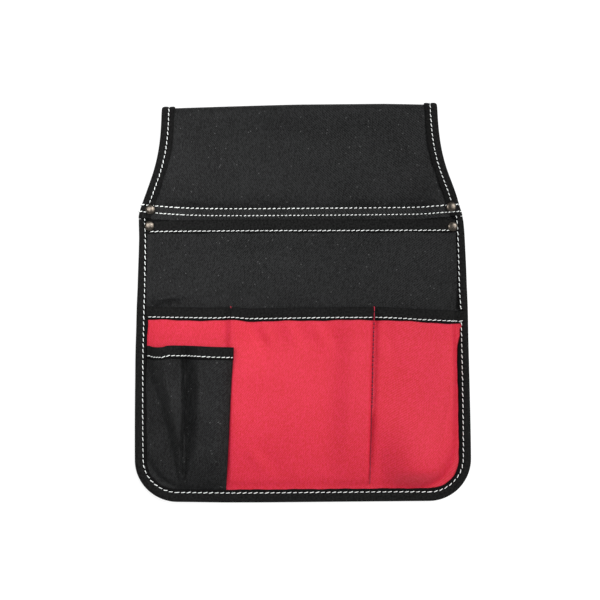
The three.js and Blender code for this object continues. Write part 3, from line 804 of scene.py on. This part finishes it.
def edge_stations():
    """Edge, inward direction and tape width down the left side, round the base and up the right."""
    heights = np.linspace(EDGE_TAPE_END, CORNER_R, EDGE_STEPS["side"])[:-1]
    half = bag_half(heights)
    zero = 0 * half
    turn = np.linspace(np.pi / 2, 0, EDGE_STEPS["corner"])
    centre = BASE_HALF - CORNER_R
    corner_x = centre + CORNER_R * np.sin(turn)
    corner_h = CORNER_R - CORNER_R * np.cos(turn)
    corner_leg = lerp(BASE_LEG, BASE_HALF - EDGE_TAPE_INNER, np.sin(turn))
    runs = []
    for sign, flare in ((-1, LEFT_FLARE), (1, RIGHT_FLARE)):
        leg = np.maximum(half - EDGE_TAPE_INNER, EDGE_LEG_LEAST) + through(flare, heights)
        side = np.stack([sign * half, heights, zero - sign, zero, leg])
        corner = np.stack([sign * corner_x, corner_h, -sign * np.sin(turn), np.cos(turn), corner_leg])
        runs.append(np.hstack([side, corner]))
    across = np.linspace(-centre, centre, EDGE_STEPS["base"])[1:-1]
    flat = 0 * across
    base = np.stack([across, flat, flat, flat + 1, flat + BASE_LEG])
    return Edge(*np.hstack([runs[0], base, runs[1][:, ::-1]]))


def edge_row(edge):
    """Inset of the row of stitches along the edge tape."""
    right = smooth(edge.x, *RIGHT_ROW_ZONE)
    return through(EDGE_ROW_INSET, edge.h) + through(RIGHT_ROW_SHIFT, edge.h) * right


def edge_place(edge, inward, level):
    return placed(edge.x + edge.inward_x * inward, edge.h + edge.inward_h * inward, level)


def edge_levels(edge):
    """Levels of the lowest and the highest cloth that the edge tape holds."""
    return PANEL_Z - SEAT, stack_top(edge.x, edge.h) + SEAT


def edge_tape(material):
    """Tape along the sides and base, which reaches past its stitches unless it is made narrow there."""
    edge = edge_stations()
    row = edge_row(edge)

    def width(run):
        leg = np.maximum(edge.leg + wobble(run, EDGE_WAVES), row + LIP_LEAST)
        return np.where(edge.leg < EDGE_LEG_LEAST - NARROW_BY, edge.leg, leg)

    return folded_tape("edge_tape", partial(edge_place, edge), width, *edge_levels(edge), row, material)


def loop_place(sign, loop, inward, off):
    """Points on one side of the loop, at a distance inward and off the middle of the cloth."""
    side = sign * bag_half(loop.h)
    x = side - sign * inward
    level = loop.h - loop_sag(x, loop.h)
    return placed(x, level + loop.normal_h * off, loop_mid(side, loop) + loop.normal_z * off)


def loop_tape(name, sign, material):
    """Tape along one side of the belt loop, over the fold and down both faces."""
    loop = loop_stations()
    hold = PANEL / 2 + SEAT
    place = partial(loop_place, sign, loop)

    def width(run):
        return LOOP_LEG + wobble(run, LOOP_WAVES)

    # The belt loop tapes take a smaller share of the painted shade on their lip
    return folded_tape(name, place, width, -hold, hold, LOOP_ROW_INSET, material, LIP_SHADE["loop"])


def mouth_place(pocket, x, below, level):
    """Points on a mouth tape: distance below its fold and level above the underside of the cloth."""
    h = pocket.mouth - below
    cloth_h = np.minimum(h, pocket.mouth - EDGE)
    z = pocket.under(x, cloth_h) + level
    return placed(x + pocket.lean(x, cloth_h), sagged(pocket, x, h), z)


def mouth_tape(pocket, x, material):
    """Tape along a pocket's mouth; the waves in its width go by the place across."""

    def width(_):
        return MOUTH_LEG - MOUTH_LEG_SHORT + wobble(x, MOUTH_WAVES)

    name = pocket.name + "_mouth_tape"
    place = partial(mouth_place, pocket, x)
    return folded_tape(name, place, width, -SEAT, CLOTH + SEAT, pocket.row_inset, material)


# Trees of nodes
class Wire:
    """An output of a node: arithmetic on it adds Math nodes to its tree."""

    def __init__(self, tree, socket):
        self.tree = tree
        self.socket = socket

    def other(self, output):
        """Another output of the same node."""
        return Wire(self.tree, self.socket.node.outputs[output])

    def worked_out(self, operation, *others):
        inputs = dict(enumerate((self, *others)))
        return self.tree.node("ShaderNodeMath", inputs, operation=operation)

    def __rsub__(self, other):
        return self.tree.node("ShaderNodeMath", {0: other, 1: self}, operation="SUBTRACT")

    __add__ = __radd__ = partialmethod(worked_out, "ADD")
    __sub__ = partialmethod(worked_out, "SUBTRACT")
    __mul__ = __rmul__ = partialmethod(worked_out, "MULTIPLY")
    __truediv__ = partialmethod(worked_out, "DIVIDE")
    __mod__ = partialmethod(worked_out, "FLOORED_MODULO")
    __lt__ = partialmethod(worked_out, "LESS_THAN")
    at_least = partialmethod(worked_out, "MAXIMUM")
    at_most = partialmethod(worked_out, "MINIMUM")
    floor = partialmethod(worked_out, "FLOOR")
    sine = partialmethod(worked_out, "SINE")
    size = partialmethod(worked_out, "ABSOLUTE")

    def ribs(self, pitch):
        """Round ribs from 0 to 1, one to each pitch."""
        return (self * (math.pi / pitch)).sine().size()


class Tree:
    """A tree of nodes that is built one node at a time."""

    def __init__(self, tree):
        self.tree = tree

    def node(self, kind, inputs=None, out=0, **settings):
        """Any node: its settings are set first, then the values or links of its sockets."""
        made = self.tree.nodes.new(kind)
        for key, value in settings.items():
            setattr(made, key, value)
        for key, value in (inputs or {}).items():
            self.feed(made.inputs[key], value)
        return Wire(self, made.outputs[out])

    def feed(self, socket, value):
        """Sets a socket to a value, or links a wire or a list of wires to it."""
        for item in value if isinstance(value, list) else [value]:
            if isinstance(item, Wire):
                self.tree.links.new(item.socket, socket)
            else:
                socket.default_value = item

    def vector(self, x=0.0, y=0.0, z=0.0):
        return self.node("ShaderNodeCombineXYZ", {0: x, 1: y, 2: z})


# Materials
class Finish(Tree):
    """A material and its nodes."""

    def __init__(self, name):
        self.material = bpy.data.materials.new(name)
        self.material.use_nodes = True
        super().__init__(self.material.node_tree)

    def set(self, **inputs):
        """Sockets of the main shader, by name with underscores for spaces."""
        for key, value in inputs.items():
            self.feed(self.tree.nodes["Principled BSDF"].inputs[key.replace("_", " ")], value)
        return self.material

    def blend(self, factor, first, second):
        """Colour between two others."""
        return self.node("ShaderNodeMix", {0: factor, 6: first, 7: second}, 2, data_type="RGBA")

    def noise(self, vector, scale, detail):
        return self.node("ShaderNodeTexNoise", {"Vector": vector, "Scale": scale, "Detail": detail})

    def bump(self, height, distance):
        return self.node("ShaderNodeBump", {"Height": height, "Distance": distance * MM})

    def attribute(self, name):
        return self.node("ShaderNodeAttribute", None, 2, attribute_name=name)

    def on_cut(self):
        """Place on the flat cloth, as a vector, across and along."""
        cut = self.node("ShaderNodeUVMap", uv_map="cut")
        across = self.node("ShaderNodeSeparateXYZ", {0: cut})
        return cut, across, across.other(1)

    def in_object(self):
        return self.node("ShaderNodeTexCoord", None, 3)


def shade(colour, factor):
    """Colour made lighter or darker, as a shader socket takes it."""
    return tuple(channel * factor for channel in colour) + (1.0,)


def woven(name, dark, light, specks, gloss, rough):
    """Twill cloth: yarns that pass over two and under one, each float its own shade, with a little lint."""
    finish = Finish(name)
    cut, across, up = finish.on_cut()
    yarn_pitch = 0.6 * MM
    across = across / yarn_pitch
    up = up / yarn_pitch
    step = up.floor() - across.floor()
    over = (step % 3.0) < 1.5
    yarn = over * across.ribs(1) + (1 - over) * up.ribs(1) * 0.25
    float_at = finish.vector(across.floor(), (step / 3.0).floor())
    shaded = finish.node("ShaderNodeTexWhiteNoise", {"Vector": float_at}, noise_dimensions="2D")
    cloud = finish.noise(cut, scale=38.0, detail=3.0) - 0.5
    grain = finish.noise(cut, scale=860.0, detail=2.0) - 0.5
    tone = 0.5 + 1.15 * (yarn - 0.48) + 0.7 * (shaded - 0.5) + 0.5 * cloud + 2.1 * grain
    dyed = finish.blend(tone, shade(dark, 1), shade(light, 1))
    lint = finish.node("ShaderNodeTexVoronoi", {"Vector": cut, "Scale": 230.0, "Randomness": 1.0})
    rare = finish.noise(cut, scale=170.0, detail=0.0)
    speck = (lint < 0.1) * (1 - (rare < 0.5)) * specks
    pale = tuple(0.5 * channel + 0.05 for channel in light)
    return finish.set(
        Base_Color=finish.blend(speck, dyed, shade(pale, 1)),
        Roughness=rough - 0.14 * yarn,
        Normal=finish.bump(yarn + 0.4 * shaded + 0.6 * grain, distance=0.09),
        Specular_IOR_Level=gloss,
    )


def webbing(name, colour):
    """Narrow woven tape: fine ribs across it, and shade painted darker on its lip, beyond its row of
    stitches.
    """
    finish = Finish(name)
    cut, across, along = finish.on_cut()
    rib = along.ribs(0.7 * MM)
    cord = across.ribs(0.9 * MM)
    grain = finish.noise(cut, scale=720.0, detail=2.0)
    cloud = finish.noise(cut, scale=60.0, detail=3.0)
    tone = 0.4 * rib + 0.25 * cord + 3.0 * grain + 0.5 * cloud - 1.67
    dyed = finish.blend(tone, shade(colour, 0.25), shade(colour, 1.75))
    return finish.set(
        # Painted shade: the lip of the tape is darkened towards a tenth of its colour
        Base_Color=finish.blend(0.8 * finish.attribute("lip"), dyed, shade(colour, 0.1)),
        Roughness=0.9 - 0.14 * rib,
        Normal=finish.bump(rib + 0.5 * cord + 0.5 * grain, distance=0.13),
        Specular_IOR_Level=0.1,
    )


def spun(name, colour):
    """Sewing thread: strands twisted along each stitch."""
    finish = Finish(name)
    strand = (finish.attribute("twist") * (2 * math.pi)).sine()
    place = finish.in_object()
    fluff = finish.noise(place, scale=2600.0, detail=2.0)
    cloud = finish.noise(place, scale=140.0, detail=1.0)
    tone = 0.3 * strand + 0.5 * fluff + 0.5 * cloud
    return finish.set(
        Base_Color=finish.blend(tone, shade(colour, 0.78), shade(colour, 1.06)),
        Roughness=0.62 + 0.2 * fluff,
        Normal=finish.bump(strand + 0.6 * fluff, distance=0.12),
        Specular_IOR_Level=0.25,
    )


def aged_brass(tarnish, rubbed):
    """Rivet metal: brown tarnish, rubbed brighter here and there."""
    finish = Finish("aged_brass")
    place = finish.in_object()
    worn = finish.noise(place, scale=520.0, detail=4.0)
    pits = finish.noise(place, scale=2400.0, detail=2.0)
    return finish.set(
        Base_Color=finish.blend(worn * 1.6 - 0.3, shade(tarnish, 1), shade(rubbed, 1)),
        Roughness=0.16 + 0.2 * pits,
        Normal=finish.bump(pits, distance=0.05),
        Metallic=1.0,
    )


def pale_floor(grey):
    """White studio table, lit a little from below, with a trace of unevenness."""
    finish = Finish("pale_floor")
    cloud = finish.noise(finish.in_object(), scale=3.0, detail=3.0)
    return finish.set(
        Base_Color=finish.blend(cloud, shade(grey, 1), shade(grey, 1.1)),
        Roughness=0.8,
        Specular_IOR_Level=0.1,
        Emission_Color=(1, 1, 1, 1),
        Emission_Strength=0.84,
    )


# Stitches and rivets, from trees of geometry nodes
class Growth(Tree):
    """A tree of geometry nodes with named inputs."""

    def __init__(self, name, **inputs):
        super().__init__(bpy.data.node_groups.new(name, "GeometryNodeTree"))
        self.tree.is_modifier = True
        face = self.tree.interface
        self.keys = {}
        for key, kind in {"Geometry": "Geometry", **inputs}.items():
            socket = face.new_socket(key, in_out="INPUT", socket_type="NodeSocket" + kind)
            self.keys[key] = socket.identifier
        face.new_socket("Geometry", in_out="OUTPUT", socket_type="NodeSocketGeometry")
        outputs = self.tree.nodes.new("NodeGroupInput").outputs
        self.source = [Wire(self, outputs[k]) for k in range(len(self.keys))]

    def random(self, low, high, seed):
        inputs = {2: low, 3: high, "Seed": seed}
        return self.node("FunctionNodeRandomValue", inputs, 1, data_type="FLOAT")

    def attribute(self, name, kind="FLOAT"):
        return self.node("GeometryNodeInputNamedAttribute", {"Name": name}, data_type=kind)

    def store(self, geometry, name, value):
        inputs = {"Geometry": geometry, "Name": name, "Value": value}
        return self.node("GeometryNodeStoreNamedAttribute", inputs, data_type="FLOAT", domain="POINT")

    def aligned(self, axis, vector, rotation=(0.0, 0.0, 0.0), **settings):
        """Rotation turned on until an axis points along a vector."""
        inputs = {"Rotation": rotation, "Vector": vector}
        return self.node("FunctionNodeAlignRotationToVector", inputs, axis=axis, **settings)

    def turned(self, x=0.0, y=0.0, z=0.0):
        return self.node("FunctionNodeEulerToRotation", {0: self.vector(x, y, z)})

    def moved(self, geometry, **where):
        return self.node("GeometryNodeSetPosition", {"Geometry": geometry, **where})

    def on_points(self, points, instance, **inputs):
        return self.node("GeometryNodeInstanceOnPoints", {"Points": points, "Instance": instance, **inputs})

    def ball(self, segments, rings, radius):
        inputs = {"Segments": segments, "Rings": rings, "Radius": radius * MM}
        return self.node("GeometryNodeMeshUVSphere", inputs)

    def give(self, instances, finish):
        """Ends the tree: instances made real, smooth and with one finish."""
        real = self.node("GeometryNodeRealizeInstances", {0: instances})
        soft = self.node("GeometryNodeSetShadeSmooth", {0: real})
        final = self.node("GeometryNodeSetMaterial", {"Geometry": soft, "Material": finish})
        self.feed(self.tree.nodes.new("NodeGroupOutput").inputs[0], final)

    def grow(self, name, mesh, **values):
        """A plain mesh object made by the tree from another mesh."""
        carrier = stand(name + "_rows", mesh)
        modifier = carrier.modifiers.new("grow", "NODES")
        modifier.node_group = self.tree
        for key, value in values.items():
            modifier[self.keys[key]] = value
        graph = bpy.context.evaluated_depsgraph_get()
        made = bpy.data.meshes.new_from_object(carrier.evaluated_get(graph))
        made.name = name
        carrier.modifiers.remove(modifier)
        bpy.data.objects.remove(carrier)
        return stand(name, made)


def stitch_growth():
    """Threads that arch over a row of needle holes and dip into the cloth between them."""
    kinds = {key: "Float" for key in ("pitch", "length", "thread", "slant")}
    growth = Growth("stitches", **kinds, seed="Int", finish="Material")
    rows, pitch, length, thread, slant, seed, finish = growth.source
    curve = growth.node("GeometryNodeMeshToCurve", {0: rows})
    holes = growth.node("GeometryNodeCurveToPoints", {"Curve": curve, "Length": pitch}, mode="LENGTH")
    along = growth.aligned("X", holes.other("Tangent"))
    facing = growth.attribute("facing", "FLOAT_VECTOR")
    upright = growth.aligned("Z", facing, rotation=along, pivot_axis="X")
    lean = growth.turned(z=slant + growth.random(-STITCH_TURN, STITCH_TURN, seed))
    inputs = {"Rotation": upright, "Rotate By": lean}
    turned = growth.node("FunctionNodeRotateRotation", inputs, rotation_space="LOCAL")

    end = length * 0.5
    start = length * -0.5
    sunk = thread * STITCH["sunk"]
    raised = thread * STITCH["raised"]
    arch = growth.node("GeometryNodeCurvePrimitiveBezierSegment", {
        "Resolution": STITCH_STEPS,
        "Start": growth.vector(start, z=sunk),
        "Start Handle": growth.vector(start * STITCH_HANDLE, z=raised),
        "End Handle": growth.vector(end * STITCH_HANDLE, z=raised),
        "End": growth.vector(end, z=sunk),
    }, mode="POSITION")
    factor = growth.node("GeometryNodeSplineParameter")
    bulge = (factor * math.pi).sine()
    inputs = {"Resolution": STITCH_STEPS, "Radius": 1.0}
    circle = growth.node("GeometryNodeCurvePrimitiveCircle", inputs, mode="RADIUS")
    strand = growth.node("GeometryNodeCurveToMesh", {
        "Curve": growth.store(arch, "along", factor),
        "Profile Curve": growth.store(circle, "around", factor),
        "Scale": thread * (STITCH["radius"] + bulge * STITCH["bulge"]),
        "Fill Caps": True,
    })
    twist = growth.attribute("along") * STITCH_TWISTS + growth.attribute("around")
    strand = growth.store(strand, "twist", twist)
    scale = growth.vector(*(growth.random(low, high, seed) for low, high in STITCH_SCALES))
    growth.give(growth.on_points(holes, strand, Rotation=turned, Scale=scale), finish)
    return growth


def rivet_growth():
    """Domed caps on posts, with flat tails behind, at points that hold the level of their seat."""
    growth = Growth("rivets", finish="Material", seed="Int")
    points, finish, seed = growth.source
    seat = growth.attribute("seat")
    seeds = [seed, seed + 1]
    tilts = [growth.random(-size, size, draw) for size, draw in zip(RIVET_TILTS, seeds)]
    seats = growth.moved(points, Offset=growth.vector(z=seat))
    x = growth.node("ShaderNodeSeparateXYZ", {0: growth.node("GeometryNodeInputPosition")})
    level = x.other("Z")
    dome = level.at_least(0.0) * ((CAP_HEIGHT - CAP_RIM) / CAP_R)
    rim = level.at_most(0.0) * (CAP_RIM / CAP_R)
    pressed = growth.vector(x, x.other("Y"), dome + rim + CAP_RIM * MM)
    cap = growth.moved(growth.ball(*RIVET_STEPS["cap"], CAP_R), Position=pressed)
    caps = growth.on_points(seats, cap, Rotation=growth.turned(*tilts))
    inputs = {"Vertices": RIVET_STEPS["post"], "Radius": POST_R * MM, "Depth": 1.0}
    post = growth.node("GeometryNodeMeshCylinder", inputs)
    middles = growth.moved(points, Offset=growth.vector(z=seat * 0.5))
    length = growth.vector(1.0, 1.0, seat - TAIL_THICK * MM)
    posts = growth.on_points(middles, post, Scale=length)
    low = growth.moved(points, Offset=(0.0, 0.0, TAIL_THICK * MM / 2))
    thin = growth.vector(1.0, 1.0, TAIL_THICK / TAIL_R / 2)
    tails = growth.on_points(low, growth.ball(*RIVET_STEPS["tail"], TAIL_R), Scale=thin)
    growth.give(growth.node("GeometryNodeJoinGeometry", {0: [caps, posts, tails]}), finish)
    return growth


# Rows of stitches, each as points and the directions that they face
def joined(rows):
    points = np.concatenate([path for path, _ in rows])
    return points, np.concatenate([np.broadcast_to(facing, path.shape) for path, facing in rows])


def row_mesh(rows):
    """Lines of needle holes."""
    points, facing = joined(rows)
    edges = []
    first = 0
    for path, _ in rows:
        edges += [(first + k, first + k + 1) for k in range(len(path) - 1)]
        first += len(path)
    mesh = bpy.data.meshes.new("rows")
    mesh.from_pydata(points.tolist(), edges, [])
    attribute = mesh.attributes.new("facing", "FLOAT_VECTOR", "POINT")
    attribute.data.foreach_set("vector", facing.astype(np.float32).ravel())
    return mesh


def edge_rows():
    """Rows along the sides, front and back, and along the base; the right one passes under the red mouth."""
    edge = edge_stations()
    low, high = edge_levels(edge)
    front = edge_place(edge, edge_row(edge), high + TAPE)
    back = edge_place(edge, edge_row(edge), low - TAPE)
    right = edge.x > 0
    side = np.abs(edge.x) > BASE_HALF - CORNER_R
    below = right & side & (edge.h < RIGHT_ROW_BREAK[0])
    above = right & (edge.h > RIGHT_ROW_BREAK[1])
    sides = [(front[part], UP) for part in (side & ~right, below, above)]
    return sides + [(back, -UP)], [(front[~side], UP)]


def loop_rows():
    """Rows along both sides of the belt loop, from the back over the fold to the upper rivets."""
    loop = loop_stations()
    kept = (loop.kind < 2) | (loop.h > FLAP_SEWN)
    loop = Loop(*(values[kept] for values in loop))
    facing = np.stack([0 * loop.h, loop.normal_h, loop.normal_z], axis=-1)
    off = PANEL / 2 + SEAT + TAPE
    return [(loop_place(sign, loop, LOOP_ROW_INSET, off), facing) for sign in (-1, 1)]


def over_loop_tape(away):
    """Rise of a row on the flap where it passes onto the tape, by its distance from the side."""
    start, end = ROW_TAPE_STEP["loop"]
    return smooth(away, LOOP_LEG + start, LOOP_LEG + end) * (SEAT + TAPE + ROW_TAPE_LIFT)


def flap_row(level, start):
    """One row from a place on the flap, round the right edge, the back and the left edge."""
    half = bag_half(level)
    end = half - FLAP_ROW_END["inset"]
    x = np.linspace(-end, end, ROW_STEPS["flap"])
    h = level + through(FLAP_ROW_RISE, x)
    rise = over_loop_tape(half - np.abs(x))
    front = flap_mid(x, h) + PANEL / 2 + FLAP_ROW_LIFT + rise
    back = panel_mid(x, h) - PANEL / 2 - rise
    middle = (front[-1] + back[-1]) / 2
    reach = (front[-1] - back[-1]) / 2
    turn = np.linspace(0, np.pi, ROW_STEPS["round"])[1:-1]
    level_round = middle + reach * np.cos(turn)
    x_round = end + FLAP_ROW_END["round"] * np.sin(turn)
    outward = np.stack([np.sin(turn), 0 * turn, np.cos(turn)], axis=-1)
    right = placed(x_round, h[-1], level_round)
    left = placed(-x_round, h[0], level_round)[::-1]
    points, facing = joined([
        (placed(x, h, front), UP),
        (right, outward),
        (placed(x, h, back)[::-1], -UP),
        (left, (outward * [-1, 1, 1])[::-1]),
    ])
    first = int(np.searchsorted(x, start))
    return np.roll(points, -first, axis=0), np.roll(facing, -first, axis=0)


def flap_tacks():
    """Short stretches of the lower row sewn twice, to hold its ends."""
    rows = []
    for start, end in FLAP_TACKS:
        x = np.linspace(start, end, ROW_STEPS["tack"])
        h = FLAP_ROWS[1] + through(FLAP_ROW_RISE, x)
        z = flap_mid(x, h) + PANEL / 2 + over_loop_tape(from_side(x, h)) + TACK_LIFT
        rows.append((placed(x, h, z), UP))
    return rows


def mouth_row(pocket, start, end):
    x = np.linspace(start, end, round((end - start) / CELL))
    return mouth_place(pocket, x, pocket.row_inset, CLOTH + SEAT + TAPE), UP


def divider_row(divider, start, end, aside=0.0, lift=0.0):
    """Row down a seam of the red pocket, between two distances below its mouth."""
    below = np.linspace(start, end, ROW_STEPS["seam"])
    h = RED_MOUTH - below
    tape_end = [MOUTH_LEG + step for step in ROW_TAPE_STEP["mouth"]]
    top = CLOTH + (1 - smooth(below, *tape_end)) * (SEAT + TAPE) + lift * seam_groove(h)
    return [(mouth_place(RED, divider_x(divider, h) + aside, below, top), UP)]


# Finishes
BLACK_CLOTH = woven(
    "black_cloth_twill",
    dark=(0.0001, 0.0001, 0.0001),
    light=(0.0180, 0.0184, 0.0187),
    specks=0.9,
    gloss=0.125,
    rough=0.72,
)
RED_CLOTH = woven(
    "red_cloth_twill",
    dark=(0.435, 0.0, 0.004),
    light=(0.57, 0.011, 0.051),
    specks=0.12,
    gloss=0.5,
    rough=0.78,
)
BLACK_TAPE = webbing("black_tape_weave", (0.0056, 0.0056, 0.0055))
WHITE_THREAD = spun("white_thread_spun", (0.95, 0.97, 0.95))
RED_THREAD = spun("red_thread_spun", (0.55, 0.025, 0.06))
# A copy of the red thread with its colour painted dark, as shade for the stitches in the groove of the right
# seam
SHADED_SEAM_THREAD = spun("red_thread_sunk", (0.17, 0.02, 0.042))
BRASS = aged_brass(tarnish=(0.04, 0.034, 0.03), rubbed=(0.15, 0.128, 0.105))

# Cloth
MAIN = Pocket("main", main_under, MAIN_MOUTH, MAIN_DIP, pocket_columns, row_inset=8.3, lean=no_lean)
RED = Pocket("red", red_under, RED_MOUTH, RED_DIP, pocket_columns, row_inset=7.7, lean=no_lean)
SMALL = Pocket("small", small_under, SMALL_MOUTH, SMALL_DIP, small_columns, row_inset=7.5, lean=small_lean)
back = back_panel(BLACK_CLOTH)
main = pocket_wall(MAIN, BLACK_CLOTH)
red = pocket_wall(RED, RED_CLOTH)
small = pocket_wall(SMALL, BLACK_CLOTH)

# Tapes
main_end = bag_half(MAIN_MOUTH) - EDGE_LEG_LEAST - GAP
small_end = divider_x(LEFT_DIVIDER, SMALL_MOUTH)
main_tape = mouth_tape(MAIN, np.linspace(-main_end, main_end, MOUTH_STEPS["main"]), BLACK_TAPE)
red_tape = mouth_tape(RED, np.linspace(*RED_TAPE_ENDS, MOUTH_STEPS["red"]), BLACK_TAPE)
small_tape = mouth_tape(SMALL, lerp(SMALL_TAPE_START, small_end, small_spread("tape")), BLACK_TAPE)
edge = edge_tape(BLACK_TAPE)
loop_left = loop_tape("loop_tape_left", -1, BLACK_TAPE)
loop_right = loop_tape("loop_tape_right", 1, BLACK_TAPE)

# Threads
stitches = stitch_growth()


def sew(name, rows, pitch, length, thread, seed, finish=WHITE_THREAD, slant=0.18):
    return stitches.grow(name, row_mesh(rows), pitch=pitch * MM, length=length * MM, thread=thread * MM,
                         slant=slant, seed=seed, finish=finish)


# Each row: name, rows, a stitch's pitch, length and thickness, seed, and its own thread and slant
side_rows, base_rows = edge_rows()
flap_rows = [[flap_row(level, start)] for level, start in zip(FLAP_ROWS, FLAP_ROW_STARTS)]
right_seam = partial(divider_row, RIGHT_DIVIDER)
BACK_ROWS = [
    ("edge_stitches", side_rows, 4.05, 2.6, 0.8, 1),
    ("base_stitches", base_rows, 4.1, 2.7, 0.8, 8),
    ("loop_stitches", loop_rows(), 3.5, 2.2, 0.82, 2),
    ("flap_stitches_upper", flap_rows[0], 3.56, 2.1, 1.02, 3),
    ("flap_stitches_lower", flap_rows[1], 3.05, 1.6, 1.0, 9),
    ("flap_tacks", flap_tacks(), 1.85, 0.35, 0.75, 4),
]
SEAM_ROWS = [
    ("seam_stitches_on_tape", right_seam(1.5, 9.3), 3.75, 3.2, 1.1, 10, RED_THREAD, 0.05),
    # The stitches down the groove take the red thread painted dark as shade
    ("seam_stitches", right_seam(12.4, 74, lift=SEAM_LIFT), 3.0, 1.7, 1.7, 6, SHADED_SEAM_THREAD, 0.05),
    ("seam_stitches_sunk", right_seam(75, 131, lift=SEAM_LIFT), 2.4, 2.5, 0.75, 11, SHADED_SEAM_THREAD, 0),
    ("seam_dot", divider_row(LEFT_DIVIDER, 0.2, 1.0, aside=1.8), 3.3, 0.9, 0.75, 7, RED_THREAD, 0.05),
]

# Rows along the mouths: pocket, start and end across
MOUTH_ROWS = [
    (MAIN, -110.6, 108.4),
    (RED, -113.0, 50.4),
    (RED, 54.6, 117.4),
    (SMALL, -113.9, small_end - SMALL_ROW_SHORT),
]
back_threads = [sew(*row) for row in BACK_ROWS]
mouth_thread = sew("mouth_stitches", [mouth_row(*row) for row in MOUTH_ROWS], PITCH, 2.5, 0.78, 5)
seam_threads = [sew(*row) for row in SEAM_ROWS]

# Rivets
spots = [(side * (bag_half(height) - away), height, 0) for side, away, height, _ in RIVETS]
rivet_points = bpy.data.meshes.new("rivet_points")
rivet_points.from_pydata([placed(*spot).tolist() for spot in spots], [], [])
seats = rivet_points.attributes.new("seat", "FLOAT", "POINT")
seats.data.foreach_set("value", [level * MM for *_, level in RIVETS])
rivets = rivet_growth().grow("rivets", rivet_points, finish=BRASS, seed=3)

# Floor
FLOOR_REACH = 4.0
corners = [(FLOOR_REACH * x, FLOOR_REACH * y, 0) for x, y in ((-1, -1), (1, -1), (1, 1), (-1, 1))]
floor_mesh = bpy.data.meshes.new("floor")
floor_mesh.from_pydata(corners, [], [(0, 1, 2, 3)])
floor_mesh.materials.append(pale_floor((0.2, 0.2, 0.2)))
floor = stand("floor", floor_mesh)

# Light
world = bpy.data.worlds.new("studio")
world.use_nodes = True
sky = world.node_tree.nodes["Background"].inputs
sky["Color"].default_value = (0.97, 0.985, 1.0, 1)
sky["Strength"].default_value = 0.45
bpy.context.scene.world = world


def light(name, kind, energy, towards, location=(0, 0, 0)):
    lamp = bpy.data.lights.new(name, kind)
    lamp.energy = energy
    stand(name, lamp, location, towards)
    return lamp


light("key_light", "SUN", energy=2.8, towards=(-0.52, -0.2, -0.95)).angle = math.radians(45)
light("glint_light", "SUN", energy=0.3, towards=(-0.5, -0.3, -1.0)).angle = math.radians(6)
lamp = light("left_lamp", "AREA", energy=0.6, towards=(0.05, -0.03, -0.28), location=(-0.19, 0.09, 0.28))
lamp.size = 0.16

# Camera straight above, with the bag where the photograph has it
PIXEL = 0.7447 * MM
FRAME = 600
PHOTO_CENTRE = (301.65, 302.45)
ROLL = math.radians(-0.5)
LENS = 120.0
SENSOR = 36.0
FOCUS_Z = 5 * MM
camera = bpy.data.cameras.new("camera")
camera.lens = LENS
camera.sensor_width = SENSOR
aside, down = ((place - FRAME / 2) * PIXEL for place in PHOTO_CENTRE)
viewer = stand("camera", camera, (-aside, down, FRAME * PIXEL * LENS / SENSOR + FOCUS_Z))
viewer.rotation_euler = (0, 0, ROLL)
bpy.context.scene.camera = viewer
bpy.context.scene.view_settings.view_transform = "Standard"

# What each piece stands for
STANDS_FOR = [
    (back, "black_cloth", "back_panel"),
    (main, "black_cloth", "main_pocket"),
    (red, "red_cloth", "red_pocket"),
    (small, "black_cloth", "small_pocket"),
    (main_tape, "black_tape", "main_pocket_binding"),
    (red_tape, "black_tape", "red_pocket_binding"),
    (small_tape, "black_tape", "small_pocket_binding"),
    (edge, "black_tape", "edge_binding"),
    (loop_left, "black_tape", "loop_binding_left"),
    (loop_right, "black_tape", "loop_binding_right"),
    (rivets, "rivet_metal", "rivet_upper_left", "rivet_upper_right", "rivet_lower_left", "rivet_lower_right"),
]
STANDS_FOR += [(thread, "white_thread") for thread in back_threads + [mouth_thread]]
STANDS_FOR += [(thread, "red_thread") for thread in seam_threads]
for obj, slot, *nodes in STANDS_FOR:
    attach(obj, "root")
    if nodes:
        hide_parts(*nodes)


# Flat sizes of the sheets
def cut_area(heights):
    """Flat area of cloth cut to the bag's width between the given heights, in square metres."""
    widths = 2 * cloth_half(heights)
    strips = np.diff(heights) * (widths[:-1] + widths[1:]) / 2
    return float(strips.sum()) * MM * MM


flap_area = cut_area(np.linspace(FLAP_END, FOLD_H, AREA_STEPS))
fold_area = math.pi * FOLD_R * 2 * TOP_HALF * MM * MM
back_area = cut_area(pocket_heights(FOLD_H)) + flap_area + fold_area
cut_area(pocket_heights(MAIN_MOUTH))
cut_area(pocket_heights(RED_MOUTH))
